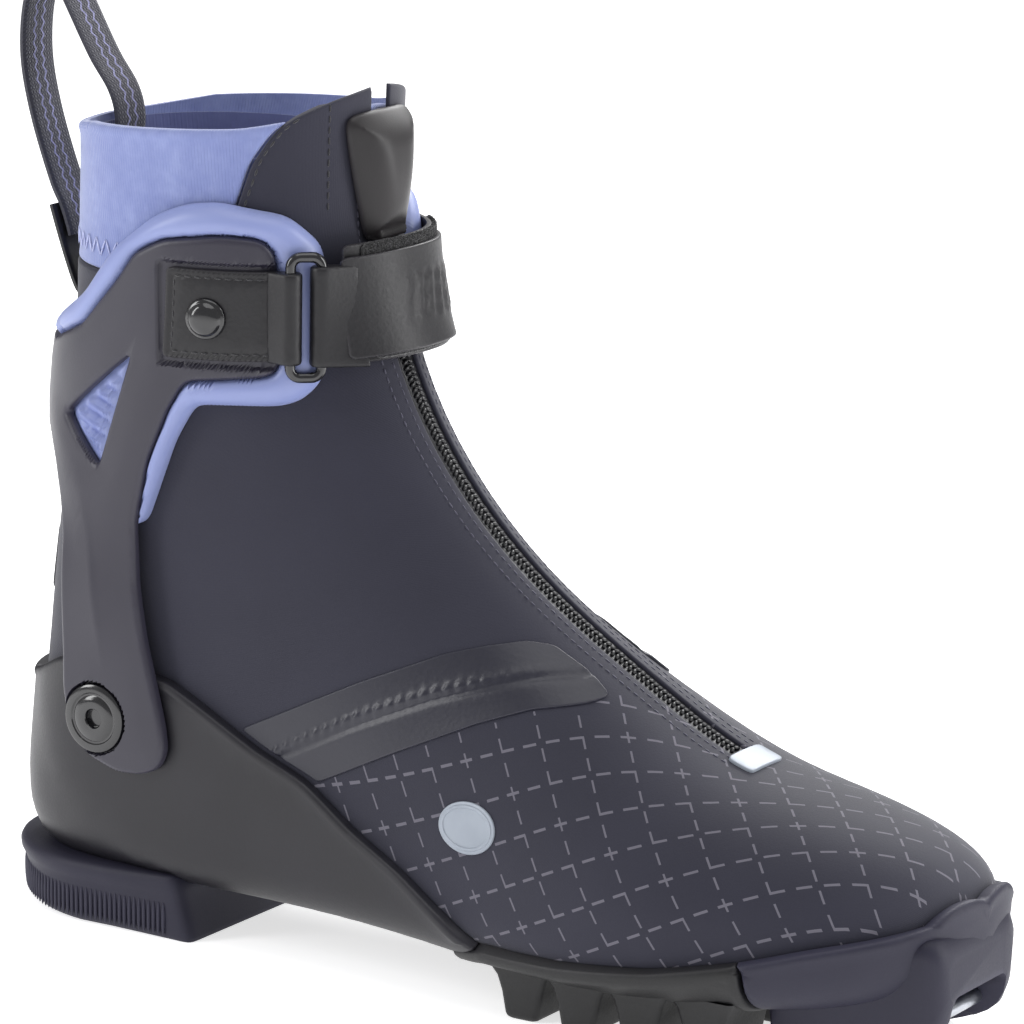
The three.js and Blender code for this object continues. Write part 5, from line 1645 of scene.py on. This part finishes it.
# %% Leather tab, its stitching and rivet
tab = panel("leather_tab", [wrap_outline(83.5, 46, 158, 181.5, 0.8)],
            lambda spot: 6.65 - 0.3 * np.exp(-((spot.edge - 1.9) / 0.5) ** 2),
            5.15, leather, bevel=0.5, spacing=2.0, rings=(1.2, 1.6, 1.9, 2.2, 2.6))
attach(tab, "cuff")
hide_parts("strap_tab")
sleeve("tab_fold", REAR_BAR, 3.0, 51, 5.25, 6.7, 158, 181.5, "cuff")
tab_seam = wrap_outline(80.6, 50.5, 159.9, 179.6, 0.4)
tab_stitches = stitches("tab_stitches", [np.vstack([tab_seam, tab_seam[:1]])], 6.5, dark_thread, 2.7, 1.9,
                        0.6)
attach(tab_stitches, "cuff")
rivet_axis = on_leg(70, 169, 1.0) - on_leg(70, 169, 0.0)
dome = [(0, -0.5), (5.3, -0.5), (5.4, 0.1), (5.3, 0.5), (4.9, 1.0), (4.5, 1.1), (4.3, 1.3), (3.9, 1.9),
        (3.2, 2.4), (2.2, 2.7), (1.1, 2.85), (0, 2.9)]
rivet = turned("tab_rivet_dome", on_leg(70, 169, 6.75), rivet_axis, dome, black_gloss, 56, 60)
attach(rivet, "cuff")
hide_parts("tab_rivet")

# %% Wire ring
direction = (FRONT_BAR - REAR_BAR) / np.linalg.norm(FRONT_BAR - REAR_BAR)
middle = np.array([*((FRONT_BAR + REAR_BAR) / 2), 170.0])
frame_line = rounded_plate(4.0, 15.5, 2.6, 8)
wire_across = frame_line[:, :1] * np.array([*direction, 0])
wire_centres = middle + wire_across + frame_line[:, 1:] * np.array([0, 0, 1.0])
long_way = np.roll(wire_centres, -1, 0) - np.roll(wire_centres, 1, 0)
long_way /= np.linalg.norm(long_way, axis=1, keepdims=True)
flat_axis = np.array([-direction[1], direction[0], 0.0])
ring_rings = [circle(c, flat_axis, np.cross(w, flat_axis), 1.4, 16) for c, w in zip(wire_centres, long_way)]
wire_ring = loft("wire_ring", ring_rings, black_gloss, closed=True, sharp=70)
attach(wire_ring, "strap_ring")
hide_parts("strap_ring")

# %% Power strap, pile and free end
under_strap = panel("under_strap", [wrap_outline(26, -74, 156.5, 187.5, 1.2)], 7.5, 6.1, leather, bevel=0.5,
                    spacing=3.0)
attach(under_strap, "cuff")
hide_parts("power_strap")
pile_face = panel("pile_face", [wrap_outline(20, -44, 157, 187.1, 0.8)], 8.2, 7.6, pile, bevel=0.3,
                  spacing=2.5)
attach(pile_face, "cuff")
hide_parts("loop_pile")
random = np.random.default_rng(7)
hair_count = 2600
hair_angle = random.uniform(-43, 19, hair_count)
hair_z = 187.3 - 3.2 * random.random(hair_count) ** 1.5
hair_phi = even_angle(hair_angle)
hair_u = at_height(hair_z, hair_phi)
hair_out = outward(hair_u, hair_phi)
hair_way = hair_out + random.normal(0, 0.7, (hair_count, 3)) + [0, 0, 0.8]
pile_hairs = beads("pile_hairs", surface(hair_u, hair_phi, 8.0), hair_way,
                   np.cross(hair_way, [1.0, 0.3, 0.2]), pile, 1.7, 0.22, 0.22, 5, 4)
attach(pile_hairs, "cuff")


def tail_height(spot):
    """Raised slanting ribs in a field on the outer side, as an embossed mark would be."""
    around = spot.phi * 38
    field = np.clip((6.5 - np.abs(spot.base[:, 2] - 171)) / 1.2, 0, 1)
    field = field * np.clip((6 - around) / 1.5, 0, 1) * np.clip((around + 40) / 1.5, 0, 1)
    ribs = 0.35 * np.clip(np.cos(2 * math.pi * (around + 0.25 * spot.base[:, 2]) / 4.4) * 1.6, -1, 1)
    return 9.75 + field * ribs


tail = panel("strap_free_end", [wrap_outline(28, -40, 157.5, 184.5, 1.2)], tail_height, 8.5, leather,
             bevel=0.45, spacing=1.3,
             rings=(0.9, 1.6))
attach(tail, "strap_tail")
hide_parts("strap_tail")
sleeve("strap_fold", FRONT_BAR, 3.1, 22, 8.55, 9.8, 157.5, 183.2, "strap_tail")
for z, name in ((179, "strap_rivet_upper"), (165, "strap_rivet_lower")):
    cap = turned(name + "_cap", on_leg(-66, z, 7.4), on_leg(-66, z, 1.0) - on_leg(-66, z, 0.0),
                 [(0, 0), (4.2, 0), (4.2, 0.5), (3.8, 1.0), (2.6, 1.5), (1.2, 1.75), (0, 1.8)], black_gloss,
                 40, 60)
    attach(cap, "cuff")
    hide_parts(name)

# %% [markdown]
# Behind, a webbing loop pulls the boot on. It is a flat band swept along its route; two pale threads wave
# along it, drawn by its finish in millimetres along and across the band.

# %% Pull loop, heel tab and Achilles strip
LOOP_ROUTE = [(10.3, 178), (9.4, 181), (7.4, 186), (4, 192.5), (-2, 209), (-5.18, 224), (-4.4, 238),
              (-0.5, 246.5), (4.8, 246), (8.8, 239.5), (16.6, 226.3), (22.7, 218), (25, 211), (24.6, 203)]
TAB_ROUTE = [(14.9, 163), (13, 165.5), (10.6, 171), (7.8, 178.5), (5.2, 186)]


def through(points, per_span=8):
    """Smooth line through every point."""
    p = np.vstack([2 * points[0] - points[1], points, 2 * points[-1] - points[-2]])
    t = np.linspace(0, 1, per_span, endpoint=False)[:, None]
    spans = [0.5 * (2 * p[k] + (p[k + 1] - p[k - 1]) * t
                    + (2 * p[k - 1] - 5 * p[k] + 4 * p[k + 1] - p[k + 2]) * t**2
                    + (3 * p[k] - p[k - 1] - 3 * p[k + 1] + p[k + 2]) * t**3) for k in range(1, len(p) - 2)]
    return np.vstack(spans + [points[-1:]])


def flat_band(name, points, half_width, half_wall, material):
    """A flat band swept along a route [x, z]; its UV holds millimetres along and across."""
    route = through(np.array(points, float))
    way = np.gradient(route, axis=0)
    way /= np.linalg.norm(way, axis=1, keepdims=True)
    section = soft_ring(rounded_plate(half_width, half_wall, half_wall * 0.6, 3), 1.0, 0.2)
    band = loft(name, [np.stack([x - tz * section[:, 1], section[:, 0], z + tx * section[:, 1]], -1)
                       for (x, z), (tx, tz) in zip(route, way)], material, sharp=50)
    run = np.r_[0, np.cumsum(np.linalg.norm(np.diff(route, axis=0), axis=1))]
    place_mm = np.stack([np.repeat(run, len(section)), np.tile(section[:, 0], len(route))], -1)
    corner = np.zeros(len(band.data.loops), int)
    band.data.loops.foreach_get("vertex_index", corner)
    band.data.uv_layers.new(name="UVMap").data.foreach_set("uv", place_mm[corner].astype(np.float32).ravel())
    return band


pull_loop = flat_band("webbing_loop", LOOP_ROUTE, 6.5, 0.8, webbing)
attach(pull_loop, "cuff")
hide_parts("pull_loop")


def rear_outline(half, low, high, soft=1.2):
    """Rectangle on the back of the leg."""
    ring = soft_ring([(-half, low), (half, low), (half, high), (-half, high)], 1.0, soft)
    u = np.array([at_back(z) for z in ring[:, 1]])
    s = slices(u)
    share = np.abs(ring[:, 0]) / 34.5
    along = (1 - share ** s[:, 8]) ** (1 / s[:, 8])
    return np.stack([u, math.pi - np.sign(-ring[:, 0]) * np.arctan2(share, along)], -1)


rear_tab = flat_band("rear_tab", TAB_ROUTE, 8.0, 0.8, leather)
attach(rear_tab, "cuff")
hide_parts("heel_tab")
rear_strip = panel("rear_strip", [rear_outline(11, 81, 99.5)],
                   lambda spot: 1.8 + 0.35 * np.cos(spot.base[:, 2] * 1.6) * (spot.edge > 2), 0.3,
                   shell_plastic, bevel=0.8, spacing=1.4, rings=(1.5, 2.0))
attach(rear_strip, "cuff")
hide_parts("achilles_strip")

# %% Footbed and the solids that stay
u_line = np.linspace(1.6, 11.9, 60)
s = slices(u_line)
sole_along = (1 - 0.62 ** s[:, 8]) ** (1 / s[:, 8])
sole_phi = np.arctan2(0.62, sole_along)
bed_outline = np.vstack([np.stack([u_line, math.pi - sole_phi], -1),
                         np.stack([u_line[::-1], math.pi + sole_phi[::-1]], -1)])
footbed = panel("footbed_cushion", [bed_outline], -6.4, -9.6, foam, bevel=0.4, spacing=5.0, edge_step=2.5)
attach(footbed, "boot")
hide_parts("footbed")


def dress(node, material):
    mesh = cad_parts[node].data
    mesh.materials.clear()
    mesh.materials.append(material)


dress("insole_board", outsole_rubber)
dress("hinge_nut_outer", steel)
dress("hinge_nut_inner", steel)
